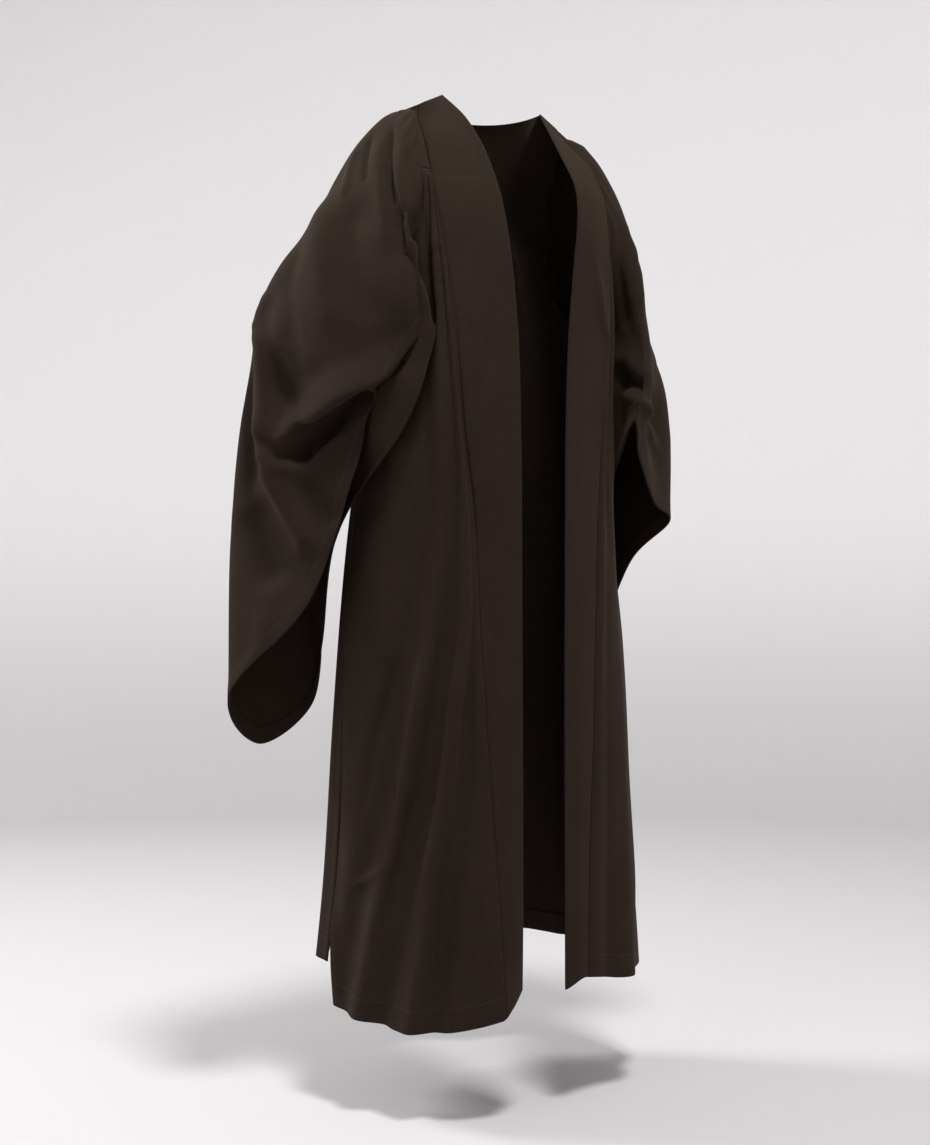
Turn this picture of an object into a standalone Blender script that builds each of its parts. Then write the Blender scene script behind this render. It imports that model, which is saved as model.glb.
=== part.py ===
"""Open-front graduation gown with wide bell sleeves, standing hollow as it is worn.

Metres, +Z up. The origin lies midway between the two high shoulder points, where a wearer's
shoulders hold the gown. +X is the wearer's left and the open front faces -Y.

Every panel is a grid of points worked out from the tables below, with a thin wall round it.
"""
import math

import bpy
from mathutils import Vector

WALL = 0.0018            # cloth thickness, with its turned and pressed seams
SEAM_GAP = 0.0003        # daylight between two panels at a seam

BAND_GAP = 0.0014        # between the mid-lines of a band and its panel, which meet at an angle
RIDGE_GAP = 0.0018       # the same along the shoulder ridge
ARMHOLE_GAP = 0.0015     # the same round the armhole

NECK_HALF_WIDTH = 0.085
YOKE_FRONT_LEVEL = -0.125
YOKE_BACK_LEVEL = -0.155
SHOULDER_Y = -0.018      # the high shoulder points
SHOULDER_FALL = -0.0165   # drop of the ridge from there to the band's seam
BACK_NECK_Y = 0.066
BACK_NECK_LEVEL = -0.006

# The armhole is a tilted oval, widest at the underarm
ARMHOLE_TOP = -0.028
UNDERARM = -0.300
ARMHOLE_MIDDLE = (ARMHOLE_TOP + UNDERARM) / 2
ARMHOLE_X = 0.160
ARMHOLE_SPREAD = 0.018
ARMHOLE_FRONT = 0.074
ARMHOLE_BACK = 0.082
ARMHOLE_SKEW = 0.2
ARMHOLE_FORWARD = 0.006    # how far its top lies in front of its foot, halved

RIGHT, LEFT = -1, 1

# Front rails, a row for each level: the open edge and the band's outer seam, wearer's right
RIGHT_FRONT = (
    # level, edge x, edge y, seam x, seam y
    (0.000, 0.085, -0.018, 0.118, -0.0170),
    (-0.036, 0.077, -0.059, 0.127, -0.017),
    (-0.072, 0.069, -0.085, 0.135, -0.048),
    (-0.116, 0.062, -0.107, 0.140, -0.072),
    (-0.160, 0.058, -0.124, 0.142, -0.090),
    (-0.235, 0.053, -0.139, 0.139, -0.107),
    (-0.340, 0.045, -0.145, 0.133, -0.127),
    (-0.470, 0.041, -0.147, 0.124, -0.134),
    (-0.600, 0.040, -0.148, 0.111, -0.141),
    (-0.768, 0.040, -0.149, 0.105, -0.144),
    (-0.914, 0.039, -0.149, 0.095, -0.149),
    (-1.060, 0.038, -0.148, 0.084, -0.153),
    (-1.170, 0.034, -0.142, 0.078, -0.156),
    (-1.300, 0.026, -0.128, 0.075, -0.163),
)

# The same rails on the wearer's left, which hangs a little straighter
LEFT_FRONT = (
    # level, edge x, edge y, seam x, seam y
    (0.000, 0.085, -0.018, 0.118, -0.012),
    (-0.036, 0.083, -0.047, 0.128, -0.025),
    (-0.075, 0.079, -0.079, 0.138, -0.062),
    (-0.125, 0.073, -0.119, 0.146, -0.090),
    (-0.166, 0.069, -0.132, 0.145, -0.101),
    (-0.250, 0.060, -0.134, 0.143, -0.110),
    (-0.340, 0.048, -0.139, 0.137, -0.114),
    (-0.470, 0.040, -0.143, 0.124, -0.116),
    (-0.600, 0.039, -0.143, 0.115, -0.117),
    (-0.768, 0.038, -0.143, 0.108, -0.120),
    (-0.930, 0.037, -0.144, 0.100, -0.125),
    (-1.070, 0.037, -0.145, 0.088, -0.133),
    (-1.300, 0.037, -0.146, 0.081, -0.138),
)

# The side seams and the centre of the back, a row for each level below the underarm
BODY = (
    # level, right side x, left side x, side y, centre back y
    (-0.040, 0.142, 0.142, -0.012, 0.078),
    (-0.155, 0.160, 0.160, 0.000, 0.112),
    (-0.300, 0.178, 0.178, 0.000, 0.146),
    (-0.450, 0.184, 0.184, 0.012, 0.165),
    (-0.550, 0.190, 0.190, 0.030, 0.174),
    (-0.650, 0.195, 0.219, 0.045, 0.182),
    (-0.770, 0.201, 0.239, 0.054, 0.190),
    (-0.885, 0.204, 0.249, 0.056, 0.197),
    (-1.016, 0.212, 0.260, 0.052, 0.206),
    (-1.127, 0.224, 0.267, 0.046, 0.213),
    (-1.219, 0.239, 0.271, 0.040, 0.219),
    (-1.300, 0.246, 0.270, 0.036, 0.224),
)

# Hem heights round each half: 0 open edge, 1 band seam, 2 side seam, 3 centre back
RIGHT_FRONT_HEM = ((0.0, -1.249), (1.0, -1.279), (1.5, -1.294), (1.8, -1.285), (2.0, -1.275))
LEFT_FRONT_HEM = ((0.0, -1.254), (1.0, -1.243), (1.3, -1.254), (1.7, -1.260), (2.0, -1.257))
RIGHT_BACK_HEM = ((2.0, -1.214), (2.4, -1.210), (3.0, -1.222))
LEFT_BACK_HEM = ((2.0, -1.240), (2.4, -1.232), (3.0, -1.222))

# Soft folds of the front panels: where each lies between band seam and side, from top to hem
RIGHT_FRONT_FOLDS = (
    # across at top, at middle, at hem, half width, depth at top, at middle, at hem
    (0.04, 0.06, 0.40, 0.050, -0.002, -0.004, -0.012),
    (0.10, 0.14, 0.51, 0.055, 0.002, 0.006, 0.012),
    (0.18, 0.22, 0.68, 0.055, -0.002, -0.008, -0.012),
    (0.28, 0.34, 0.80, 0.060, 0.002, 0.008, 0.009),
    (0.42, 0.50, 0.93, 0.070, -0.003, -0.009, -0.006),
    (0.62, 0.68, 0.97, 0.070, 0.002, 0.005, 0.002),
)
LEFT_FRONT_FOLDS = (
    # across at top, at middle, at hem, half width, depth at top, at middle, at hem
    (0.35, 0.18, 0.16, 0.060, -0.004, -0.003, -0.006),
    (0.55, 0.38, 0.36, 0.080, 0.002, 0.004, 0.008),
    (0.70, 0.58, 0.58, 0.070, 0.000, -0.005, -0.009),
    (0.85, 0.80, 0.80, 0.080, 0.000, 0.005, 0.008),
)

# Gathers under the back yoke, which open into soft folds: across runs right side to left side
BACK_FOLDS = (
    # across at top, at middle, at hem, half width, depth at top, at middle, at hem
    (0.10, 0.07, 0.06, 0.030, 0.000, 0.004, 0.010),
    (0.19, 0.15, 0.14, 0.030, -0.003, -0.006, -0.012),
    (0.27, 0.23, 0.22, 0.032, 0.004, 0.007, 0.014),
    (0.34, 0.31, 0.30, 0.030, -0.004, -0.007, -0.013),
    (0.41, 0.39, 0.39, 0.032, 0.004, 0.007, 0.013),
    (0.48, 0.47, 0.47, 0.028, -0.005, -0.008, -0.014),
    (0.55, 0.56, 0.56, 0.032, 0.004, 0.007, 0.012),
    (0.62, 0.64, 0.65, 0.030, -0.004, -0.007, -0.013),
    (0.70, 0.73, 0.74, 0.032, 0.004, 0.007, 0.014),
    (0.79, 0.82, 0.83, 0.032, -0.003, -0.006, -0.012),
    (0.89, 0.91, 0.92, 0.032, 0.000, 0.004, 0.010),
)

# Ten lines run down each sleeve: top, outer, back, low back, tip, inner back, under, inner,
# front and chest. Each leaves the armhole at an angle in degrees from its top, over the back
LINE_ANGLES = (0.0, 35.0, 70.0, 105.0, 140.0, 170.0, 200.0, 232.0, 270.0, 318.0)
# How far along the sleeve each ring lies: armhole, cap, upper arm, elbow, forearm, mouth
RING_STATIONS = (0.0, 0.06, 0.30, 0.54, 0.77, 1.0)

# Rings of the right sleeve, a row for each, with a point on every sleeve line
RIGHT_SLEEVE = (
    # cap, just past the armhole
    ((0.169, -0.012, -0.047), (0.180, 0.020, -0.060), (0.184, 0.062, -0.105),
     (0.187, 0.088, -0.170), (0.190, 0.090, -0.240), (0.193, 0.048, -0.306),
     (0.194, 0.000, -0.320), (0.191, -0.046, -0.296), (0.184, -0.090, -0.225),
     (0.179, -0.066, -0.120)),
    # upper arm
    ((0.210, -0.025, -0.125), (0.233, 0.040, -0.150), (0.247, 0.085, -0.215),
     (0.242, 0.120, -0.290), (0.226, 0.130, -0.370), (0.210, 0.098, -0.405),
     (0.204, 0.045, -0.400), (0.202, -0.010, -0.365), (0.190, -0.084, -0.290),
     (0.187, -0.088, -0.195)),
    # elbow
    ((0.238, -0.038, -0.250), (0.283, 0.055, -0.255), (0.300, 0.123, -0.330),
     (0.300, 0.150, -0.440), (0.266, 0.158, -0.540), (0.228, 0.135, -0.560),
     (0.205, 0.085, -0.530), (0.205, 0.005, -0.450), (0.192, -0.090, -0.350),
     (0.183, -0.102, -0.255)),
    # forearm
    ((0.240, -0.055, -0.345), (0.288, 0.022, -0.400), (0.312, 0.108, -0.470),
     (0.332, 0.147, -0.600), (0.298, 0.160, -0.720), (0.228, 0.152, -0.720),
     (0.192, 0.148, -0.665), (0.210, 0.024, -0.530), (0.191, -0.096, -0.405),
     (0.176, -0.112, -0.302)),
    # mouth
    ((0.215, -0.055, -0.425), (0.238, -0.035, -0.540), (0.280, 0.012, -0.712),
     (0.356, 0.102, -0.843), (0.302, 0.126, -0.914), (0.212, 0.143, -0.868),
     (0.178, 0.164, -0.776), (0.213, 0.052, -0.615), (0.186, -0.092, -0.470),
     (0.160, -0.113, -0.346)),
)

# Rings of the left sleeve, whose forearm is held lower and further out
LEFT_SLEEVE = (
    # cap, just past the armhole
    ((0.176, -0.014, -0.044), (0.184, 0.020, -0.060), (0.186, 0.062, -0.105),
     (0.188, 0.088, -0.170), (0.190, 0.090, -0.240), (0.193, 0.048, -0.306),
     (0.194, 0.000, -0.320), (0.191, -0.046, -0.296), (0.186, -0.088, -0.225),
     (0.184, -0.066, -0.115)),
    # upper arm
    ((0.222, -0.012, -0.130), (0.240, 0.045, -0.155), (0.248, 0.090, -0.220),
     (0.242, 0.120, -0.295), (0.226, 0.130, -0.375), (0.212, 0.098, -0.405),
     (0.208, 0.045, -0.400), (0.206, -0.010, -0.365), (0.202, -0.080, -0.290),
     (0.205, -0.072, -0.190)),
    # elbow
    ((0.258, -0.014, -0.250), (0.285, 0.055, -0.270), (0.300, 0.120, -0.340),
     (0.295, 0.150, -0.440), (0.264, 0.158, -0.540), (0.230, 0.135, -0.560),
     (0.208, 0.085, -0.530), (0.212, 0.005, -0.450), (0.208, -0.096, -0.355),
     (0.226, -0.072, -0.270)),
    # forearm
    ((0.280, -0.040, -0.375), (0.331, -0.006, -0.430), (0.322, 0.095, -0.490),
     (0.318, 0.145, -0.600), (0.288, 0.160, -0.690), (0.228, 0.152, -0.690),
     (0.194, 0.148, -0.640), (0.216, 0.022, -0.530), (0.198, -0.106, -0.415),
     (0.237, -0.090, -0.375)),
    # mouth
    ((0.266, -0.062, -0.562), (0.328, -0.024, -0.588), (0.312, 0.046, -0.642),
     (0.306, 0.106, -0.735), (0.282, 0.142, -0.815), (0.215, 0.150, -0.785),
     (0.170, 0.174, -0.725), (0.225, 0.045, -0.600), (0.184, -0.110, -0.452),
     (0.210, -0.094, -0.497)),
)

# Gathers of each sleeve head: a ridge at each of these lines, from the armhole down
GATHER_LINES = (8.50, 9.25, 0.0, 0.75, 1.50, 2.25)
GATHER_RINGS = (0.4, 1.9)
GATHER_HALF_WIDTH = 0.24
GATHER_DEPTH = 0.005

# Main creases of each sleeve: both ends as (ring, line), half width in rings and lines, and
# how far the crease stands out at each end, or in where that is negative
RIGHT_SLEEVE_CREASES = (
    # ring, line, ring, line, half width, depth at start, at end
    (5.0, 0.10, 3.6, 1.15, 0.34, 0.012, 0.010),
    (5.0, 0.45, 4.0, 1.35, 0.26, -0.014, -0.018),
    (2.6, 1.70, 4.2, 1.75, 0.30, 0.008, 0.010),
    (4.2, 1.75, 4.8, 1.45, 0.30, 0.010, 0.006),
)
LEFT_SLEEVE_CREASES = (
    # ring, line, ring, line, half width, depth at start, at end
    (4.0, 9.35, 4.1, 10.15, 0.32, 0.008, 0.004),
    (4.4, 9.30, 4.5, 10.10, 0.26, -0.012, -0.006),
)

CLOTH_COLOURS = (("yoke", (0.034, 0.029, 0.025)), ("back", (0.030, 0.024, 0.020)),
                 ("band", (0.034, 0.028, 0.024)), ("front", (0.030, 0.024, 0.020)),
                 ("sleeve", (0.032, 0.026, 0.022)))

BAND_COLUMNS = 4
FRONT_COLUMNS = 16
BACK_COLUMNS = 40
YOKE_ROWS = 7
TAB_ROWS = 6
# Places along the yoke's top edge: 0 centre of the neck, 1 high shoulder point, 2 armhole
TAB_SHARES = (1.77, 1.88, 2)
YOKE_SHARES = (0, 0.15, 0.3, 0.45, 0.6, 0.75, 0.9, 1, 1.2, 1.4, 1.6) + TAB_SHARES
BAND_CROWN = 0.003
BAND_CROWN_START = 0.10      # share of the band's length over which its crown comes in
# How far the front panel runs on before it turns to the side, at the chest and at the hem
FRONT_PULL = (0.40, 1.0)
FRONT_DIP = 0.10
HEM_TUCK = 0.014             # the right front's lower side corner hangs in under the back
HEM_TUCK_TOP = -1.17
# How squarely the front meets the side: at the armhole, and how much more below it
SIDE_PULL = (0.2, 0.9)
# The same for the back, with how straight it leaves the armhole and crosses the centre
BACK_SIDE_PULL = (0.5, 0.7)
BACK_ARMHOLE_PULL = 0.10
BACK_CENTRE_PULL = 1.45
ARMHOLE_EASE = 0.22          # height over which the armhole's flat sides turn to the round body
# How the yoke leaves the ridge and arrives at its back seam
YOKE_LEAVE = (0.0, 0.05, -0.02)
YOKE_ARRIVE = (0.0, 0.03, -0.16)
FOLD_SIDE_FADE = 0.08        # share of a panel's width over which its folds die away at a seam
FOLD_TOP_FADE = 0.03         # share of its length, under the yoke
SLEEVE_CROWDING = 1.15       # above 1, the sleeve's rows lie closer together near the armhole
SLEEVE_COLUMNS = 44          # round
SLEEVE_ROWS = 17             # armhole to mouth
BAND_LEVELS = (0.010, 0.022, 0.036, 0.052, 0.070, 0.090, 0.112, 0.136, 0.165, 0.20, 0.24, 0.29,
               0.35, 0.42, 0.50, 0.58, 0.66, 0.74, 0.82, 0.88, 0.94, 1.0)
PANEL_LEVELS = (0.024, 0.050, 0.076, 0.100, 0.119, 0.133, 0.142, 0.149, 0.160, 0.19, 0.24, 0.30,
                0.37, 0.45, 0.54, 0.63, 0.72, 0.81, 0.89, 0.95, 1.0)


def ease(rows, place, column):
    """Value of one column of a table at a place along its first column, eased through the rows."""
    place = min(max(place, rows[0][0]), rows[-1][0])
    index = max(i for i in range(len(rows) - 1) if rows[i][0] <= place)
    low, high = rows[index], rows[index + 1]

    def slope(a, b):
        return (b[column] - a[column]) / (b[0] - a[0])

    here = slope(low, high)
    start = (slope(rows[index - 1], low) + here) / 2 if index > 0 else here
    end = (here + slope(high, rows[index + 2])) / 2 if index + 2 < len(rows) else here
    span = high[0] - low[0]
    t = (place - low[0]) / span
    return cubic(low[column], start * span, high[column], end * span, t)


def cubic(start, start_pull, end, end_pull, t):
    """Hermite curve from start to end, leaving and arriving along the two pulls."""
    return (start * (2 * t ** 3 - 3 * t ** 2 + 1) + start_pull * (t ** 3 - 2 * t ** 2 + t)
            + end * (3 * t ** 2 - 2 * t ** 3) + end_pull * (t ** 3 - t ** 2))


def at_level(table, level, column):
    """Value of a column of a table whose rows go down from the shoulder."""
    return ease([(-row[0],) + row[1:] for row in table], -level, column)


def armhole(angle):
    """Point on the left-hand oval at an angle in radians from its top, positive over the back."""
    drop = math.cos(angle)
    reach = ARMHOLE_BACK if math.sin(angle) > 0 else ARMHOLE_FRONT
    return Vector((ARMHOLE_X - ARMHOLE_SPREAD * drop,
                   -ARMHOLE_FORWARD * (1 + drop) + reach * math.sin(angle) * (1 - ARMHOLE_SKEW * drop),
                   ARMHOLE_MIDDLE + (ARMHOLE_TOP - ARMHOLE_MIDDLE) * drop))


def side_point(hand, level, facing):
    """Outer edge of a panel at a level: the armhole, then the side seam below it.
    facing is -1 for a front panel and 1 for the back."""
    if level > UNDERARM:
        drop = min((level - ARMHOLE_MIDDLE) / (ARMHOLE_TOP - ARMHOLE_MIDDLE), 1.0)
        point = armhole(facing * math.acos(drop))
        return Vector((hand * point.x, point.y, level))
    side_x = at_level(BODY, level, 1 if hand == RIGHT else 2)
    return Vector((hand * side_x, at_level(BODY, level, 3), level))


def front_point(hand, level, rail):
    """Point of one front at a level, on its open edge (rail 0) or its band seam (rail 1)."""
    table = RIGHT_FRONT if hand == RIGHT else LEFT_FRONT
    x = at_level(table, level, 1 + 2 * rail)
    y = at_level(table, level, 2 + 2 * rail)
    return Vector((hand * x, y, level))


def band_surface(hand, columns, levels):
    """Front band from the shoulder ridge to the hem, between its open edge and its seam."""
    hem = RIGHT_FRONT_HEM if hand == RIGHT else LEFT_FRONT_HEM
    rows = []
    for down in (0.0,) + tuple(levels):
        row = []
        for i in range(columns + 1):
            across = i / columns
            top = SHOULDER_FALL * across
            level = top + (ease(hem, across, 1) - top) * down
            edge = front_point(hand, level, 0)
            seam = front_point(hand, level, 1)
            point = edge.lerp(seam, across)
            point.y -= BAND_CROWN * math.sin(math.pi * across) * min(1.0, down / BAND_CROWN_START)
            point.y -= RIDGE_GAP / 2 if down == 0.0 else 0.0
            point.x -= hand * BAND_GAP / 2 if i == columns else 0.0
            row.append(point)
        rows.append(row)
    return rows


def front_surface(hand, columns, levels):
    """Front panel from the yoke seam and armhole to the hem, between band seam and side seam."""
    hem = RIGHT_FRONT_HEM if hand == RIGHT else LEFT_FRONT_HEM
    folds = RIGHT_FRONT_FOLDS if hand == RIGHT else LEFT_FRONT_FOLDS
    rows = []
    for down in (0.0,) + tuple(levels):
        row = []
        for i in range(columns + 1):
            across = i / columns
            top = YOKE_FRONT_LEVEL - SEAM_GAP
            level = top + (ease(hem, 1 + across, 1) - top) * down
            seam = front_point(hand, level, 1) + Vector((hand * BAND_GAP / 2, 0, 0))
            side = side_point(hand, level, -1) - Vector((0, SEAM_GAP, 0))
            if hand == RIGHT:
                side.x += HEM_TUCK * max(0.0, (HEM_TUCK_TOP - level) / (HEM_TUCK_TOP - hem[-1][1]))
            span = (side - seam).length
            pull = FRONT_PULL[0] + (FRONT_PULL[1] - FRONT_PULL[0]) * down
            leave = Vector((hand * pull * span, -FRONT_DIP * span, 0))
            turn = body_turn(YOKE_FRONT_LEVEL - level)
            arrive = Vector((hand * (1 - turn) * span, (SIDE_PULL[0] + SIDE_PULL[1] * turn) * span, 0))
            row.append(cubic(seam, leave, side, arrive, across))
        rows.append(row)
    return folded(rows, folds, hand)


def body_turn(below):
    """How far the cloth has turned from its flat armhole (0) to the round body (1), by the
    distance below the yoke."""
    return cubic(0.0, 0.0, 1.0, 0.0, min(1.0, max(0.0, below / ARMHOLE_EASE)))


def back_surface(columns, levels):
    """Back panel from the yoke seam and armholes to the hem, right side seam to left."""
    rows = []
    for down in (0.0,) + tuple(levels):
        row = []
        for i in range(columns + 1):
            across = i / columns
            hand = RIGHT if across < 0.5 else LEFT
            hem = RIGHT_BACK_HEM if hand == RIGHT else LEFT_BACK_HEM
            inward = 1 - abs(2 * across - 1)
            top = YOKE_BACK_LEVEL - SEAM_GAP
            level = top + (ease(hem, 2 + inward, 1) - top) * down
            row.append(back_point(hand, level, inward))
        rows.append(row)
    return folded(rows, BACK_FOLDS, -1)


def back_point(hand, level, inward):
    """Point of the back at a level, from the side (inward 0) to the centre (inward 1)."""
    side = side_point(hand, level, 1) + Vector((0, SEAM_GAP, 0))
    centre = Vector((0, at_level(BODY, level, 4), level))
    reach = centre.y - side.y
    turn = body_turn(YOKE_BACK_LEVEL - level)
    leave = Vector((-hand * BACK_ARMHOLE_PULL * (1 - turn),
                    reach * (BACK_SIDE_PULL[0] + BACK_SIDE_PULL[1] * turn), 0))
    arrive = Vector((-hand * abs(side.x) * BACK_CENTRE_PULL, 0, 0))
    return cubic(side, leave, centre, arrive, inward)


def folded(rows, folds, hand):
    """The same grid with its folds pushed out or in, square to the cloth."""
    out = []
    for j, row in enumerate(rows):
        down = max(0.0, min(1.0, (rows[0][0].z - row[0].z) / (rows[0][0].z - rows[-1][0].z)))
        new_row = []
        for i, point in enumerate(row):
            across = i / (len(row) - 1)
            shift = sum(fold_depth(fold, across, down) for fold in folds)
            shift *= min(1.0, across / FOLD_SIDE_FADE, (1 - across) / FOLD_SIDE_FADE)
            new_row.append(point + cloth_normal(rows, j, i) * hand * shift)
        out.append(new_row)
    return out


def fold_depth(fold, across, down):
    """How far one fold stands out at a place of its panel, fading in just under the seam."""
    at_top, at_middle, at_hem, half_width, deep_top, deep_middle, deep_hem = fold
    centre = ease(((0.0, at_top), (0.5, at_middle), (1.0, at_hem)), down, 1)
    depth = ease(((0.0, deep_top), (0.5, deep_middle), (1.0, deep_hem)), down, 1)
    return depth * math.exp(-((across - centre) / half_width) ** 2) * min(1.0, down / FOLD_TOP_FADE)


def cloth_normal(rows, j, i, closed=False):
    """Unit normal of a grid at one point, from its neighbours."""
    last = len(rows[j]) - 1
    before = rows[j][i - 1 if i > 0 or closed else 0]
    after = rows[j][(i + 1) % (last + 1) if closed else min(i + 1, last)]
    above = rows[max(j - 1, 0)][i]
    below = rows[min(j + 1, len(rows) - 1)][i]
    return (after - before).cross(above - below).normalized()


def sleeve_rings(hand):
    """Sleeve lines as tables: for each line, rows of station, x, y and z."""
    rings = RIGHT_SLEEVE if hand == RIGHT else LEFT_SLEEVE
    lines = []
    for index, degrees in enumerate(LINE_ANGLES):
        angle = math.radians(degrees)
        start = armhole(angle)
        under = ((1 - math.cos(angle)) / 2) ** 3
        start.x += ARMHOLE_GAP + WALL * under
        points = [start] + [Vector(ring[index]) for ring in rings]
        lines.append([(station,) + tuple(point) for station, point in zip(RING_STATIONS, points)])
    return lines


def sleeve_surface(hand, columns, row_count):
    """Bell sleeve from the armhole to its mouth, closed round the arm."""
    lines = sleeve_rings(hand)
    count = len(lines)
    rows = []
    for j in range(row_count + 1):
        along = (j / row_count) ** SLEEVE_CROWDING
        knots = [Vector([ease(line, along, axis) for axis in (1, 2, 3)]) for line in lines]
        row = []
        for i in range(columns):
            place = i / columns * count
            k = int(place)
            here, after = knots[k], knots[(k + 1) % count]
            before, beyond = knots[k - 1], knots[(k + 2) % count]
            point = cubic(here, (after - before) / 2, after, (beyond - here) / 2, place - k)
            row.append(Vector((hand * point.x, point.y, point.z)))
        rows.append(row)
    gathers = [(GATHER_RINGS[0], line, GATHER_RINGS[1], line, GATHER_HALF_WIDTH, GATHER_DEPTH, 0.0)
               for line in GATHER_LINES]
    creases = RIGHT_SLEEVE_CREASES if hand == RIGHT else LEFT_SLEEVE_CREASES
    return creased(rows, list(creases) + gathers, hand)


def creased(rows, creases, hand):
    """The same sleeve with its main creases pushed out or in, square to the cloth."""
    out = []
    for j, row in enumerate(rows):
        along = (j / (len(rows) - 1)) ** SLEEVE_CROWDING
        ring = ease([(station, index) for index, station in enumerate(RING_STATIONS)], along, 1)
        new_row = []
        for i, point in enumerate(row):
            line = i / len(row) * len(LINE_ANGLES)
            shift = sum(crease_depth(crease, ring, line) for crease in creases)
            shift *= min(1, j)
            new_row.append(point + cloth_normal(rows, j, i, closed=True) * hand * shift)
        out.append(new_row)
    return out


def crease_depth(crease, ring, line):
    """How far one crease stands out at a ring and line of its sleeve."""
    ring_a, line_a, ring_b, line_b, half_width, deep_a, deep_b = crease
    count = len(LINE_ANGLES)
    line = line_a + (line - line_a + count / 2) % count - count / 2
    run = Vector((ring_b - ring_a, line_b - line_a))
    place = Vector((ring - ring_a, line - line_a))
    t = min(max(place.dot(run) / run.length_squared, 0.0), 1.0)
    away = (place - run * t).length
    return (deep_a + (deep_b - deep_a) * t) * math.exp(-(away / half_width) ** 2)


def yoke_top(hand, share):
    """Top edge of the yoke: from the centre of the neck (share 0), round it to the high shoulder
    point (share 1), then out along the ridge to the armhole (share 2)."""
    start_y = SHOULDER_Y + RIDGE_GAP / 2
    if share <= 1:
        rise = math.cos(share * math.pi / 2)
        return Vector((hand * NECK_HALF_WIDTH * math.sin(share * math.pi / 2),
                       start_y + (BACK_NECK_Y - start_y) * rise, BACK_NECK_LEVEL * rise))
    shoulder = Vector((hand * NECK_HALF_WIDTH, start_y, 0))
    end = armhole(0)
    return shoulder.lerp(Vector((hand * end.x, end.y, end.z)), share - 1)


def yoke_row(down):
    """One row of the back yoke, armhole to armhole, from its top edge (0) to its back seam (1)."""
    level = YOKE_BACK_LEVEL + SEAM_GAP
    row = []
    for place in [-share for share in reversed(YOKE_SHARES[1:])] + list(YOKE_SHARES):
        hand = -1 if place < 0 else 1
        share = abs(place)
        if share == 2:
            reach = math.acos((level - ARMHOLE_MIDDLE) / (ARMHOLE_TOP - ARMHOLE_MIDDLE))
            point = armhole(reach * down)
            row.append(Vector((hand * point.x, point.y, point.z)))
        else:
            top = yoke_top(hand, share)
            low = back_point(hand, level, 1 - share / 2)
            row.append(cubic(top, Vector(YOKE_LEAVE), low, Vector(YOKE_ARRIVE), down))
    return row


def tab_row(hand, down):
    """One row of a front tab of the yoke, band seam to armhole, from the ridge (0) to its seam (1)."""
    row = []
    for share in TAB_SHARES:
        start = yoke_top(hand, share)
        across = (share - TAB_SHARES[0]) / (2 - TAB_SHARES[0])
        level = start.z + (YOKE_FRONT_LEVEL + SEAM_GAP - start.z) * down
        seam = front_point(hand, level, 1) + Vector((hand * BAND_GAP / 2, 0, 0))
        low = seam.lerp(side_point(hand, level, -1), across)
        row.append(start if down == 0 else low)
    return row


def mesh_object(name, points, faces, material):
    """Object from points and faces, with the cloth's thickness put half to each side."""
    mesh = bpy.data.meshes.new(name)
    mesh.from_pydata(points, [], faces)
    mesh.materials.append(material)
    thing = bpy.data.objects.new(name, mesh)
    bpy.context.scene.collection.objects.link(thing)
    wall = thing.modifiers.new("Cloth wall", "SOLIDIFY")
    wall.thickness = WALL
    wall.offset = 0.0
    mesh.shade_smooth()
    return thing


def cloth_panel(name, rows, material, flip=False, closed=False):
    """Object from a grid of points, joined to itself sideways where it is closed."""
    width = len(rows[0])
    points = [point for row in rows for point in row]
    faces = []
    for j in range(len(rows) - 1):
        for i in range(width if closed else width - 1):
            after = (i + 1) % width
            face = (j * width + i, (j + 1) * width + i, (j + 1) * width + after, j * width + after)
            faces.append(tuple(reversed(face)) if flip else face)
    return mesh_object(name, points, faces, material)


def yoke_panel(material):
    """Back yoke with its two front tabs, in one piece over the shoulder ridge."""
    rows = [yoke_row(j / YOKE_ROWS) for j in range(YOKE_ROWS + 1)]
    width = len(rows[0])
    points = [point for row in rows for point in row]
    faces = [(j * width + i, (j + 1) * width + i, (j + 1) * width + i + 1, j * width + i + 1)
             for j in range(YOKE_ROWS) for i in range(width - 1)]
    tab_width = len(TAB_SHARES)
    for hand in (RIGHT, LEFT):
        ridge = [(width - 1) // 2 + hand * (len(YOKE_SHARES) - tab_width + k) for k in range(tab_width)]
        above = ridge
        for j in range(1, TAB_ROWS + 1):
            start = len(points)
            points += tab_row(hand, j / TAB_ROWS)
            below = list(range(start, start + tab_width))
            for k in range(tab_width - 1):
                face = (above[k], above[k + 1], below[k + 1], below[k])
                faces.append(face if hand == LEFT else tuple(reversed(face)))
            above = below
    return mesh_object("yoke", points, faces, material)


def gown_cloth(name, colour):
    """Plain woven worsted, faded black, with the dull finish of old academic dress."""
    material = bpy.data.materials.new(name)
    material.use_nodes = True
    shader = material.node_tree.nodes["Principled BSDF"]
    shader.inputs["Base Color"].default_value = (*colour, 1.0)
    shader.inputs["Roughness"].default_value = 0.9
    shader.inputs["Metallic"].default_value = 0.0
    return material


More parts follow.
